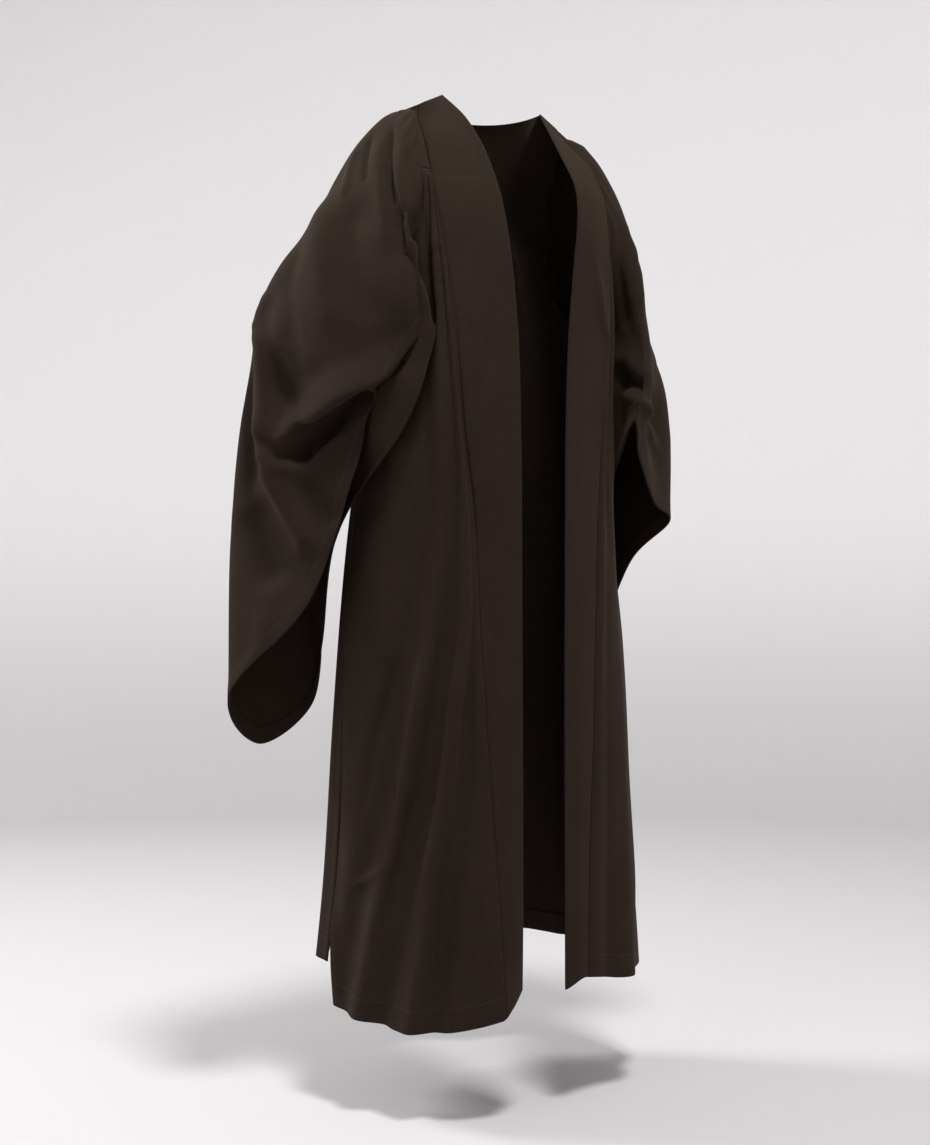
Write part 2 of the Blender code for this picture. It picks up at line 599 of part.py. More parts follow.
def main():
    """Clear the scene and make the eight cut pieces."""
    for thing in list(bpy.data.objects):
        bpy.data.objects.remove(thing)
    cloth = {name: gown_cloth(name + " cloth", colour) for name, colour in CLOTH_COLOURS}
    yoke_panel(cloth["yoke"])
    cloth_panel("back", back_surface(BACK_COLUMNS, PANEL_LEVELS), cloth["back"])
    for hand, side in ((RIGHT, "right"), (LEFT, "left")):
        band = band_surface(hand, BAND_COLUMNS, BAND_LEVELS)
        front = front_surface(hand, FRONT_COLUMNS, PANEL_LEVELS)
        sleeve = sleeve_surface(hand, SLEEVE_COLUMNS, SLEEVE_ROWS)
        cloth_panel("band_" + side, band, cloth["band"], flip=hand == LEFT)
        cloth_panel("front_" + side, front, cloth["front"], flip=hand == LEFT)
        cloth_panel("sleeve_" + side, sleeve, cloth["sleeve"], flip=hand == LEFT, closed=True)


main()
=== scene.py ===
"""Looks of the graduation gown, which hangs open and hollow as it is worn.

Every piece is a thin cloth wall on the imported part's own surfaces, worked out from the same tables
at a finer grid, with its folds, turned hems, sunken seams and stitching. Metres, +Z up. The origin
lies between the high shoulder points, +X is the wearer's left and the open front faces -Y.
"""
import math

import bpy
import numpy as np
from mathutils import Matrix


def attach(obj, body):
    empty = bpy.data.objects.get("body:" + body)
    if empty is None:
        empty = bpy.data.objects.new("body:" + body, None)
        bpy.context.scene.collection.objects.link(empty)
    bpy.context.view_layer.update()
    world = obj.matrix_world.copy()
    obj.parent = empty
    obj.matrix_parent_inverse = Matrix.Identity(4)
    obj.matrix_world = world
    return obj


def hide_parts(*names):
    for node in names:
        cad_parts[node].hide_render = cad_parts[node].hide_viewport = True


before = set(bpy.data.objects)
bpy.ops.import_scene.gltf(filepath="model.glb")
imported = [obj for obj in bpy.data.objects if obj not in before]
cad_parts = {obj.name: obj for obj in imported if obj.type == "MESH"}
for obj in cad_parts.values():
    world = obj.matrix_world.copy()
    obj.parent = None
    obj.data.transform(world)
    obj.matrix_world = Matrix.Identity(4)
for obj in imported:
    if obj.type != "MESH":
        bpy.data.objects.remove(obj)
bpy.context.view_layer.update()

RIGHT, LEFT = -1, 1

NECK_HALF_WIDTH = 0.085
YOKE_FRONT_LEVEL = -0.125
YOKE_BACK_LEVEL = -0.155
SHOULDER_Y = -0.018      # the high shoulder points
SHOULDER_FALL = -0.0165   # drop of the ridge from there to the band's seam
BACK_NECK_Y = 0.066
BACK_NECK_LEVEL = -0.006

# The armhole is a tilted oval, widest at the underarm
ARMHOLE_TOP = -0.028
UNDERARM = -0.300
ARMHOLE_MIDDLE = (ARMHOLE_TOP + UNDERARM) / 2
ARMHOLE_X = 0.160
ARMHOLE_SPREAD = 0.018
ARMHOLE_FRONT = 0.074
ARMHOLE_BACK = 0.082
ARMHOLE_SKEW = 0.2
ARMHOLE_FORWARD = 0.006    # how far its top lies in front of its foot, halved

# Front rails, a row for each level: the open edge and the band's outer seam, wearer's right
RIGHT_FRONT = (
    # level, edge x, edge y, seam x, seam y
    (0.000, 0.085, -0.018, 0.118, -0.0170),
    (-0.036, 0.077, -0.059, 0.127, -0.017),
    (-0.072, 0.069, -0.085, 0.135, -0.048),
    (-0.116, 0.062, -0.107, 0.140, -0.072),
    (-0.160, 0.058, -0.124, 0.142, -0.090),
    (-0.235, 0.053, -0.139, 0.139, -0.107),
    (-0.340, 0.045, -0.145, 0.133, -0.127),
    (-0.470, 0.041, -0.147, 0.124, -0.134),
    (-0.600, 0.040, -0.148, 0.111, -0.141),
    (-0.768, 0.040, -0.149, 0.105, -0.144),
    (-0.914, 0.039, -0.149, 0.095, -0.149),
    (-1.060, 0.038, -0.148, 0.084, -0.153),
    (-1.170, 0.034, -0.142, 0.078, -0.156),
    (-1.300, 0.026, -0.128, 0.075, -0.163),
)

# The same rails on the wearer's left, which hangs a little straighter
LEFT_FRONT = (
    # level, edge x, edge y, seam x, seam y
    (0.000, 0.085, -0.018, 0.118, -0.012),
    (-0.036, 0.083, -0.047, 0.128, -0.025),
    (-0.075, 0.079, -0.079, 0.138, -0.062),
    (-0.125, 0.073, -0.119, 0.146, -0.090),
    (-0.166, 0.069, -0.132, 0.145, -0.101),
    (-0.250, 0.060, -0.134, 0.143, -0.110),
    (-0.340, 0.048, -0.139, 0.137, -0.114),
    (-0.470, 0.040, -0.143, 0.124, -0.116),
    (-0.600, 0.039, -0.143, 0.115, -0.117),
    (-0.768, 0.038, -0.143, 0.108, -0.120),
    (-0.930, 0.037, -0.144, 0.100, -0.125),
    (-1.070, 0.037, -0.145, 0.088, -0.133),
    (-1.300, 0.037, -0.146, 0.081, -0.138),
)

# The side seams and the centre of the back, a row for each level below the underarm
BODY = (
    # level, right side x, left side x, side y, centre back y
    (-0.040, 0.142, 0.142, -0.012, 0.078),
    (-0.155, 0.160, 0.160, 0.000, 0.112),
    (-0.300, 0.178, 0.178, 0.000, 0.146),
    (-0.450, 0.184, 0.184, 0.012, 0.165),
    (-0.550, 0.190, 0.190, 0.030, 0.174),
    (-0.650, 0.195, 0.219, 0.045, 0.182),
    (-0.770, 0.201, 0.239, 0.054, 0.190),
    (-0.885, 0.204, 0.249, 0.056, 0.197),
    (-1.016, 0.212, 0.260, 0.052, 0.206),
    (-1.127, 0.224, 0.267, 0.046, 0.213),
    (-1.219, 0.239, 0.271, 0.040, 0.219),
    (-1.300, 0.246, 0.270, 0.036, 0.224),
)

# Hem heights round each half: 0 open edge, 1 band seam, 2 side seam, 3 centre back
RIGHT_FRONT_HEM = ((0.0, -1.249), (1.0, -1.279), (1.5, -1.294), (1.8, -1.285), (2.0, -1.275))
LEFT_FRONT_HEM = ((0.0, -1.254), (1.0, -1.243), (1.3, -1.254), (1.7, -1.260), (2.0, -1.257))
RIGHT_BACK_HEM = ((2.0, -1.214), (2.4, -1.210), (3.0, -1.222))
LEFT_BACK_HEM = ((2.0, -1.240), (2.4, -1.232), (3.0, -1.222))

# Soft folds of the front panels: where each lies between band seam and side, from top to hem
RIGHT_FRONT_FOLDS = (
    # across at top, at middle, at hem, half width, depth at top, at middle, at hem
    (0.04, 0.06, 0.40, 0.050, -0.002, -0.004, -0.012),
    (0.10, 0.14, 0.51, 0.055, 0.002, 0.006, 0.012),
    (0.18, 0.22, 0.68, 0.055, -0.002, -0.008, -0.012),
    (0.28, 0.34, 0.80, 0.060, 0.002, 0.008, 0.009),
    (0.42, 0.50, 0.93, 0.070, -0.003, -0.009, -0.006),
    (0.62, 0.68, 0.97, 0.070, 0.002, 0.005, 0.002),
)
LEFT_FRONT_FOLDS = (
    # across at top, at middle, at hem, half width, depth at top, at middle, at hem
    (0.35, 0.18, 0.16, 0.060, -0.004, -0.003, -0.006),
    (0.55, 0.38, 0.36, 0.080, 0.002, 0.004, 0.008),
    (0.70, 0.58, 0.58, 0.070, 0.000, -0.005, -0.009),
    (0.85, 0.80, 0.80, 0.080, 0.000, 0.005, 0.008),
)

# Gathers under the back yoke, which open into soft folds: across runs right side to left side
BACK_FOLDS = (
    # across at top, at middle, at hem, half width, depth at top, at middle, at hem
    (0.10, 0.07, 0.06, 0.030, 0.000, 0.004, 0.010),
    (0.19, 0.15, 0.14, 0.030, -0.003, -0.006, -0.012),
    (0.27, 0.23, 0.22, 0.032, 0.004, 0.007, 0.014),
    (0.34, 0.31, 0.30, 0.030, -0.004, -0.007, -0.013),
    (0.41, 0.39, 0.39, 0.032, 0.004, 0.007, 0.013),
    (0.48, 0.47, 0.47, 0.028, -0.005, -0.008, -0.014),
    (0.55, 0.56, 0.56, 0.032, 0.004, 0.007, 0.012),
    (0.62, 0.64, 0.65, 0.030, -0.004, -0.007, -0.013),
    (0.70, 0.73, 0.74, 0.032, 0.004, 0.007, 0.014),
    (0.79, 0.82, 0.83, 0.032, -0.003, -0.006, -0.012),
    (0.89, 0.91, 0.92, 0.032, 0.000, 0.004, 0.010),
)

# Ten lines run down each sleeve: top, outer, back, low back, tip, inner back, under, inner,
# front and chest. Each leaves the armhole at an angle in degrees from its top, over the back
LINE_ANGLES = (0.0, 35.0, 70.0, 105.0, 140.0, 170.0, 200.0, 232.0, 270.0, 318.0)
# How far along the sleeve each ring lies: armhole, cap, upper arm, elbow, forearm, mouth
RING_STATIONS = (0.0, 0.06, 0.30, 0.54, 0.77, 1.0)

# Rings of the right sleeve, a row for each, with a point on every sleeve line
RIGHT_SLEEVE = (
    # cap, just past the armhole
    ((0.169, -0.012, -0.047), (0.180, 0.020, -0.060), (0.184, 0.062, -0.105),
     (0.187, 0.088, -0.170), (0.190, 0.090, -0.240), (0.193, 0.048, -0.306),
     (0.194, 0.000, -0.320), (0.191, -0.046, -0.296), (0.184, -0.090, -0.225),
     (0.179, -0.066, -0.120)),
    # upper arm
    ((0.210, -0.025, -0.125), (0.233, 0.040, -0.150), (0.247, 0.085, -0.215),
     (0.242, 0.120, -0.290), (0.226, 0.130, -0.370), (0.210, 0.098, -0.405),
     (0.204, 0.045, -0.400), (0.202, -0.010, -0.365), (0.190, -0.084, -0.290),
     (0.187, -0.088, -0.195)),
    # elbow
    ((0.238, -0.038, -0.250), (0.283, 0.055, -0.255), (0.300, 0.123, -0.330),
     (0.300, 0.150, -0.440), (0.266, 0.158, -0.540), (0.228, 0.135, -0.560),
     (0.205, 0.085, -0.530), (0.205, 0.005, -0.450), (0.192, -0.090, -0.350),
     (0.183, -0.102, -0.255)),
    # forearm
    ((0.240, -0.055, -0.345), (0.288, 0.022, -0.400), (0.312, 0.108, -0.470),
     (0.332, 0.147, -0.600), (0.298, 0.160, -0.720), (0.228, 0.152, -0.720),
     (0.192, 0.148, -0.665), (0.210, 0.024, -0.530), (0.191, -0.096, -0.405),
     (0.176, -0.112, -0.302)),
    # mouth
    ((0.215, -0.055, -0.425), (0.238, -0.035, -0.540), (0.280, 0.012, -0.712),
     (0.356, 0.102, -0.843), (0.302, 0.126, -0.914), (0.212, 0.143, -0.868),
     (0.178, 0.164, -0.776), (0.213, 0.052, -0.615), (0.186, -0.092, -0.470),
     (0.160, -0.113, -0.346)),
)

# Rings of the left sleeve, whose forearm is held lower and further out
LEFT_SLEEVE = (
    # cap, just past the armhole
    ((0.176, -0.014, -0.044), (0.184, 0.020, -0.060), (0.186, 0.062, -0.105),
     (0.188, 0.088, -0.170), (0.190, 0.090, -0.240), (0.193, 0.048, -0.306),
     (0.194, 0.000, -0.320), (0.191, -0.046, -0.296), (0.186, -0.088, -0.225),
     (0.184, -0.066, -0.115)),
    # upper arm
    ((0.222, -0.012, -0.130), (0.240, 0.045, -0.155), (0.248, 0.090, -0.220),
     (0.242, 0.120, -0.295), (0.226, 0.130, -0.375), (0.212, 0.098, -0.405),
     (0.208, 0.045, -0.400), (0.206, -0.010, -0.365), (0.202, -0.080, -0.290),
     (0.205, -0.072, -0.190)),
    # elbow
    ((0.258, -0.014, -0.250), (0.285, 0.055, -0.270), (0.300, 0.120, -0.340),
     (0.295, 0.150, -0.440), (0.264, 0.158, -0.540), (0.230, 0.135, -0.560),
     (0.208, 0.085, -0.530), (0.212, 0.005, -0.450), (0.208, -0.096, -0.355),
     (0.226, -0.072, -0.270)),
    # forearm
    ((0.280, -0.040, -0.375), (0.331, -0.006, -0.430), (0.322, 0.095, -0.490),
     (0.318, 0.145, -0.600), (0.288, 0.160, -0.690), (0.228, 0.152, -0.690),
     (0.194, 0.148, -0.640), (0.216, 0.022, -0.530), (0.198, -0.106, -0.415),
     (0.237, -0.090, -0.375)),
    # mouth
    ((0.266, -0.062, -0.562), (0.328, -0.024, -0.588), (0.312, 0.046, -0.642),
     (0.306, 0.106, -0.735), (0.282, 0.142, -0.815), (0.215, 0.150, -0.785),
     (0.170, 0.174, -0.725), (0.225, 0.045, -0.600), (0.184, -0.110, -0.452),
     (0.210, -0.094, -0.497)),
)

# Gathers of each sleeve head: a ridge at each of these lines, from the armhole down
GATHER_LINES = (8.50, 9.25, 0.0, 0.75, 1.50, 2.25)
GATHER_RINGS = (0.4, 1.9)
GATHER_HALF_WIDTH = 0.24
GATHER_DEPTH = 0.005

# Main creases of each sleeve: both ends as (ring, line), half width in rings and lines, and
# how far the crease stands out at each end, or in where that is negative
RIGHT_SLEEVE_CREASES = (
    # ring, line, ring, line, half width, depth at start, at end
    (5.0, 0.10, 3.6, 1.15, 0.34, 0.012, 0.010),
    (5.0, 0.45, 4.0, 1.35, 0.26, -0.014, -0.018),
    (2.6, 1.70, 4.2, 1.75, 0.30, 0.008, 0.010),
    (4.2, 1.75, 4.8, 1.45, 0.30, 0.010, 0.006),
)
LEFT_SLEEVE_CREASES = (
    # ring, line, ring, line, half width, depth at start, at end
    (4.0, 9.35, 4.1, 10.15, 0.32, 0.008, 0.004),
    (4.4, 9.30, 4.5, 10.10, 0.26, -0.012, -0.006),
)

BAND_CROWN = 0.003
BAND_CROWN_START = 0.10      # share of the band's length over which its crown comes in
FRONT_PULL = (0.40, 1.0)
FRONT_DIP = 0.10
HEM_TUCK = 0.014             # the right front's lower side corner hangs in under the back
HEM_TUCK_TOP = -1.17
SIDE_PULL = (0.2, 0.9)
BACK_SIDE_PULL = (0.5, 0.7)
BACK_ARMHOLE_PULL = 0.10
BACK_CENTRE_PULL = 1.45
ARMHOLE_EASE = 0.22          # height over which the armhole's flat sides turn to the round body
YOKE_LEAVE = (0.0, 0.05, -0.02)
YOKE_ARRIVE = (0.0, 0.03, -0.16)
FOLD_SIDE_FADE = 0.08        # share of a panel's width over which its folds die away at a seam
FOLD_TOP_FADE = 0.03         # share of its length, under the yoke
SLEEVE_CROWDING = 1.15       # above 1, the sleeve's rows lie closer together near the armhole

# The cloth as it is sewn
CLOTH = 0.0011           # one layer of the worsted
BAND_CLOTH = 0.0026      # the bands are two layers, with the turnings between them
HEM_DEPTH = 0.030
SLEEVE_HEM_DEPTH = 0.018
HEM_LAY = 0.0021         # from the cloth to its turned-up hem, centre to centre
SEAM_SINK = 0.0016       # a pressed seam lies this far below the cloth beside it
SEAM_ROLL = 0.0035       # over this distance to each side
SEAM_FADE = 0.012        # and comes in over this distance from an edge that is not sewn down
STITCH_PITCH = 0.0032
EDGE_STITCH_IN = 0.006   # from an edge to its row of stitches

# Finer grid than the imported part's: along the cloth, and across it
# Rough widths of the panels, by which their extra columns are placed
BAND_WIDTH = 0.06
FRONT_WIDTH = 0.16
BACK_WIDTH = 0.45

BAND_GRID = (400, 22)
FRONT_GRID = (270, 96)
BACK_GRID = (220, 176)
SLEEVE_GRID = (168, 216)
YOKE_GRID = (44, 60)
TAB_GRID = (50, 14)
BAND_TURN = 0.03         # share of a band over which it leaves the shoulder ridge
TAB_TURN = 0.35          # share of a tab over which it leaves the shoulder ridge
OVAL_RINGS = 0.6         # rings over which a sleeve takes up the armhole's exact oval
# Distances from a seam at which extra columns follow its roll
SEAM_COLUMNS = (0.0008, 0.0018, 0.0035, 0.006)

# The photograph is 930 by 1145 pixels. Its camera stands this far from the middle of the gown
PHOTO_HEIGHT = 1145
CAMERA_AZIMUTH = math.radians(-34)
CAMERA_DISTANCE = 2.5
CAMERA_LEVEL = -0.738
PIXELS_PER_TANGENT = 1726
AIM_PIXEL = (485, 618)   # where the camera's level line through the gown's upright axis meets the photograph
SENSOR = 36.0
FRAME_SHIFT = (-20, 45.5)    # pixels from the middle of the photograph to that line
FLOOR_LEVEL = -1.42

# Where the sleeve's seam runs, under the arm, counted in sleeve lines
UNDERARM_LINE = 5.5
TAB_START = 1.585        # the yoke's front tabs begin here along its top edge

# Small gathers of the sleeve head, by the sleeve line each starts from
GATHER_START = 0.35      # rings over which a gather comes in below the seam
SLEEVE_GATHERS = (
    # line, drift in lines for each ring, half width in lines, depth, rings it runs
    (8.30, 0.05, 0.10, 0.0035, 1.6), (8.62, 0.04, 0.09, 0.0042, 2.2), (8.95, 0.02, 0.11, 0.0050, 2.0),
    (9.30, 0.02, 0.10, 0.0048, 1.7), (9.62, 0.00, 0.11, 0.0050, 2.1), (9.95, 0.02, 0.10, 0.0045, 1.5),
    (0.28, 0.03, 0.11, 0.0046, 1.8), (0.62, 0.05, 0.10, 0.0040, 1.4), (0.98, 0.06, 0.12, 0.0042, 1.7),
    (1.36, 0.05, 0.11, 0.0036, 1.3), (1.75, 0.04, 0.12, 0.0034, 1.5), (2.15, 0.02, 0.12, 0.0028, 1.2),
)

# Creases by piece: how the places are given, half width, depth (out, or in where negative), and
# the places, which are pixels of the photograph or shares (across, down) of the panel's grid
# Small gathers of the back, sewn into the yoke: place across, drift down the panel, half width,
# depth and share of the panel's length over which each dies away
GATHER_RISE = 0.02       # share of the length over which they come in below the seam
GATHER_SPREAD = 2.5      # how much wider they are at the hem, were they to run so far
BACK_GATHERS = (
    (0.135, -0.10, 0.012, 0.0035, 0.20), (0.176, -0.08, 0.013, 0.0048, 0.34),
    (0.222, -0.07, 0.012, 0.0042, 0.26),
    (0.262, -0.05, 0.014, 0.0052, 0.42), (0.309, -0.05, 0.012, 0.0040, 0.24),
    (0.346, -0.03, 0.013, 0.0050, 0.36),
    (0.392, -0.02, 0.012, 0.0044, 0.28), (0.431, -0.01, 0.014, 0.0054, 0.44),
    (0.478, 0.00, 0.012, 0.0042, 0.25),
    (0.517, 0.01, 0.013, 0.0050, 0.38), (0.563, 0.02, 0.012, 0.0044, 0.27),
    (0.602, 0.03, 0.014, 0.0052, 0.43),
    (0.648, 0.04, 0.012, 0.0040, 0.24), (0.689, 0.05, 0.013, 0.0048, 0.35),
    (0.736, 0.06, 0.012, 0.0044, 0.28),
    (0.777, 0.07, 0.014, 0.0050, 0.40), (0.824, 0.09, 0.012, 0.0038, 0.22),
    (0.862, 0.10, 0.012, 0.0032, 0.18),
)

# Where the panels turn from the armhole to the side seam their cloth is eased over this much length
EASED_ROWS = 16
EASED_TIMES = 3

CREASE_TAPER = 0.22      # share of a crease's run over which it dies away at each end
SAG_OUT = 0.7            # a sagging ridge hangs over: this much of it goes out from the cloth
SAG_DOWN = 0.8           # and this much down
CREASES = {
    "sleeve_right": (
        # the deep fold that hangs from the elbow, its lip and its hollow
        ("sagging", 0.016, 0.034, ((262, 430), (284, 428), (298, 412), (319, 393), (343, 378), (372, 366),
                                   (408, 345))),
        ("photo", 0.013, -0.040, ((280, 462), (296, 456), (310, 441), (328, 424), (346, 408), (364, 396),
                                  (380, 384))),
        ("photo", 0.010, 0.010, ((258, 446), (272, 461), (290, 468), (310, 462))),
        # ridge that runs down from the lip to the mouth
        ("photo", 0.018, 0.016, ((262, 453), (278, 489), (293, 518), (304, 536), (309, 565))),
        ("photo", 0.022, -0.012, ((306, 476), (320, 505), (332, 530))),
        ("photo", 0.030, -0.010, ((250, 500), (262, 540), (276, 590))),
        # upright ridge above the lip, with a soft hollow outside it
        ("photo", 0.014, 0.010, ((256, 318), (262, 345), (264, 380), (263, 415), (262, 452))),
        ("photo", 0.014, -0.010, ((248, 350), (249, 400), (250, 452), (254, 500))),
        # deep folds of the sleeve head beside the armhole
        ("photo", 0.004, -0.008, ((394, 126), (390, 150), (391, 179), (394, 215))),
        ("photo", 0.009, 0.004, ((402, 135), (400, 160), (402, 200), (403, 240))),
        ("photo", 0.004, -0.003, ((408, 145), (407, 165), (408, 190))),
        ("photo", 0.014, 0.004, ((270, 290), (260, 312), (257, 335))),
        ("photo", 0.010, 0.006, ((382, 132), (378, 170), (382, 210), (390, 260))),
        ("photo", 0.006, -0.005, ((372, 134), (366, 160), (364, 185))),
        ("photo", 0.008, 0.004, ((360, 144), (350, 170), (342, 200))),
        ("photo", 0.022, 0.008, ((330, 190), (318, 250), (322, 300), (345, 345))),
        ("photo", 0.024, -0.009, ((356, 190), (350, 240), (360, 290), (384, 335))),
        ("photo", 0.016, -0.006, ((300, 225), (288, 280), (292, 335), (312, 385))),
        ("photo", 0.012, 0.005, ((263, 600), (262, 650), (257, 710))),
        # the hidden back of the sleeve hangs in long soft folds, given from the underarm seam round
        ("share", 0.018, 0.009, ((0.16, 0.25), (0.15, 0.55), (0.14, 0.95))),
        ("share", 0.016, -0.009, ((0.22, 0.30), (0.21, 0.60), (0.20, 0.97))),
        ("share", 0.020, 0.010, ((0.29, 0.22), (0.28, 0.55), (0.27, 0.97))),
        ("share", 0.018, -0.008, ((0.36, 0.30), (0.35, 0.60), (0.34, 0.96))),
    ),
    "sleeve_left": (
        ("photo", 0.011, 0.008, ((622, 398), (634, 396), (640, 401), (645, 413), (649, 428), (661, 458))),
        ("photo", 0.010, -0.011, ((618, 376), (627, 378), (634, 384), (641, 394))),
        ("sagging", 0.011, 0.006, ((618, 354), (628, 357), (640, 366), (648, 380))),
        ("photo", 0.010, 0.007, ((628, 230), (633, 290), (640, 345))),
        ("photo", 0.008, -0.006, ((618, 220), (621, 280), (627, 335))),
        ("share", 0.018, 0.010, ((0.20, 0.25), (0.19, 0.55), (0.18, 0.95))),
        ("share", 0.016, -0.010, ((0.27, 0.28), (0.26, 0.60), (0.25, 0.97))),
        ("share", 0.020, 0.010, ((0.34, 0.22), (0.33, 0.55), (0.33, 0.97))),
        ("share", 0.020, -0.009, ((0.42, 0.20), (0.43, 0.50), (0.44, 0.92))),
        ("share", 0.022, 0.009, ((0.50, 0.16), (0.51, 0.45), (0.52, 0.85))),
    ),
    "front_right": (
        ("photo", 0.014, -0.009, ((400, 640), (389, 694), (373, 748), (365, 791), (354, 828))),
        ("photo", 0.016, 0.009, ((429, 640), (421, 707), (408, 775), (402, 828))),
        ("photo", 0.014, -0.009, ((445, 600), (435, 694), (424, 748), (413, 801), (402, 869), (389, 909),
                                  (373, 950))),
        ("photo", 0.016, 0.008, ((459, 640), (453, 721), (445, 801), (435, 855), (421, 909))),
        ("photo", 0.014, -0.008, ((472, 640), (464, 721), (453, 815), (443, 896), (437, 990), (429, 1036))),
        ("photo", 0.006, 0.004, ((351, 888), (372, 877), (394, 869))),
        # fold line beside the band, from the yoke down
        ("photo", 0.006, -0.005, ((414, 190), (423, 202), (428, 253), (434, 312), (434, 354))),
        ("photo", 0.008, 0.004, ((426, 200), (436, 253), (442, 312), (446, 380), (450, 450))),
        ("photo", 0.004, -0.002, ((429, 257), (437, 254), (444, 253))),
        ("photo", 0.004, -0.002, ((434, 286), (441, 286), (448, 287))),
    ),
    "front_left": (
        ("share", 0.010, 0.005, ((0.30, 0.02), (0.34, 0.12), (0.40, 0.26), (0.46, 0.42))),
        ("share", 0.010, -0.005, ((0.18, 0.02), (0.20, 0.14), (0.24, 0.30), (0.26, 0.50))),
        ("share", 0.018, 0.006, ((0.55, 0.35), (0.50, 0.60), (0.46, 0.85), (0.44, 1.0))),
        ("share", 0.018, -0.006, ((0.70, 0.38), (0.66, 0.62), (0.62, 0.85), (0.60, 1.0))),
    ),
    "band_right": (
        ("photo", 0.004, -0.0012, ((436, 177), (460, 176), (486, 176))),
        ("photo", 0.020, 0.003, ((470, 330), (480, 420), (486, 520))),
    ),
    "band_left": (
        ("photo", 0.010, 0.004, ((594, 249), (603, 320), (608, 341), (604, 413), (601, 436))),
    ),
    "back": (
        ("share", 0.012, 0.005, ((0.20, 0.0), (0.21, 0.10), (0.23, 0.28))),
        ("share", 0.012, -0.005, ((0.26, 0.0), (0.265, 0.12), (0.27, 0.32))),
        ("share", 0.012, 0.005, ((0.36, 0.0), (0.355, 0.10), (0.35, 0.26))),
        ("share", 0.012, 0.005, ((0.64, 0.0), (0.645, 0.12), (0.65, 0.30))),
        ("share", 0.012, -0.005, ((0.72, 0.0), (0.715, 0.10), (0.71, 0.27))),
        ("share", 0.020, 0.006, ((0.30, 0.45), (0.28, 0.70), (0.25, 1.0))),
        ("share", 0.020, -0.006, ((0.60, 0.42), (0.63, 0.68), (0.66, 1.0))),
    ),
}

# Slow unevenness of hanging cloth: number of waves, and how long they are across and down
WAVES = 9
WAVE_ACROSS = (0.06, 0.16)
WAVE_DOWN = (0.35, 0.90)
FRONT_WAVE = 0.0012
BACK_WAVE = 0.0014
FRONT_SEED = 11
BACK_SEED = 23

CLOTH_MAP = "cloth"      # the UV map, in metres over the flat cloth
WAVE_PERIOD = 0.314      # a wave texture of scale 1 repeats at this distance
THREAD_PITCH = 0.0012
SLUB_WIDTH = 0.0024
CLOUD_SIZE = 0.25
CRUMPLE_SIZE = 0.05
STITCH_SIZE = (0.0024, 0.0005, 0.0004)
STITCH_RISE = 0.0001
STITCH_TURN = 0.12       # radians to either side
STITCH_SEED = 7

# Larger than any distance on the gown, and than any in the photograph
FAR_AWAY = 9.0
UNSEEN = 1e4

# The cloth is painted paler above this level, by this share at the shoulders: partly dust, partly a painted
# highlight of the light from above
DUST_AND_TOP_LIGHT_FOOT = -0.34
DUST_AND_TOP_LIGHT_SHARE = 0.25

WORLD_LIGHT = 0.37
FLOOR_PAINT = "#CAC8C9"
WALL_PAINT = "#F0EEEF"
PAINT_BLEND = 1.3        # height over which the floor's paint passes into the wall's
# The cove: where its floor ends, the radius of its bend, its top and its sides
COVE_FLOOR = 3.6
COVE_BEND = 1.2
COVE_TOP = 4.0
COVE_SIDES = 96
LAMP_AIM = (0.0, 0.0, -0.6)
LAMPS = (
    # name, place, diameter, watts
    ("key", (-0.5, -1.6, 3.1), 0.8, 155.0),
    ("side fill", (-2.7, -0.9, 0.9), 1.6, 9.0),
    ("back light", (-1.9, 2.2, 1.7), 1.2, 90.0),
)


def cubic(start, start_pull, end, end_pull, t):
    """Hermite curve from start to end, leaving and arriving along the two pulls."""
    return (start * (2 * t ** 3 - 3 * t ** 2 + 1) + start_pull * (t ** 3 - 2 * t ** 2 + t)
            + end * (3 * t ** 2 - 2 * t ** 3) + end_pull * (t ** 3 - t ** 2))


def smooth(t):
    """Eased step from 0 to 1 as t goes from 0 to 1."""
    return cubic(0.0, 0.0, 1.0, 0.0, np.clip(t, 0.0, 1.0))


def ease(rows, place, column):
    """Values of one column of a table at places along its first column, eased through the rows."""
    table = np.array(rows, dtype=float)
    at, value = table[:, 0], table[:, column]
    slope = np.diff(value) / np.diff(at)
    pull = np.concatenate((slope[:1], (slope[:-1] + slope[1:]) / 2, slope[-1:]))
    place = np.clip(place, at[0], at[-1])
    k = np.clip(np.searchsorted(at, place, side="right") - 1, 0, len(at) - 2)
    span = at[k + 1] - at[k]
    return cubic(value[k], pull[k] * span, value[k + 1], pull[k + 1] * span, (place - at[k]) / span)


def at_level(table, level, column):
    """Values of a column of a table whose rows go down from the shoulder."""
    return ease([(-row[0],) + row[1:] for row in table], -level, column)


def points(x, y, z):
    """Array of points from arrays of their coordinates."""
    return np.stack(np.broadcast_arrays(x, y, z), axis=-1).astype(float)


def length(vectors):
    """Lengths of an array of vectors, kept as a last axis of one."""
    return np.linalg.norm(vectors, axis=-1, keepdims=True)


def armhole(angle):
    """Points on the left-hand oval at angles in radians from its top, positive over the back."""
    drop = np.cos(angle)
    reach = np.where(np.sin(angle) > 0, ARMHOLE_BACK, ARMHOLE_FRONT)
    return points(ARMHOLE_X - ARMHOLE_SPREAD * drop,
                  -ARMHOLE_FORWARD * (1 + drop) + reach * np.sin(angle) * (1 - ARMHOLE_SKEW * drop),
                  ARMHOLE_MIDDLE + (ARMHOLE_TOP - ARMHOLE_MIDDLE) * drop)


def side_point(hand, level, facing):
    """Outer edge of a panel at some levels: the armhole, then the side seam below it.
    facing is -1 for a front panel and 1 for the back."""
    drop = np.clip((level - ARMHOLE_MIDDLE) / (ARMHOLE_TOP - ARMHOLE_MIDDLE), -1.0, 1.0)
    hole = armhole(facing * np.arccos(drop))
    beside = level > UNDERARM
    x = np.where(beside, hole[..., 0], at_level(BODY, level, 1 if hand == RIGHT else 2))
    return points(hand * x, np.where(beside, hole[..., 1], at_level(BODY, level, 3)), level)


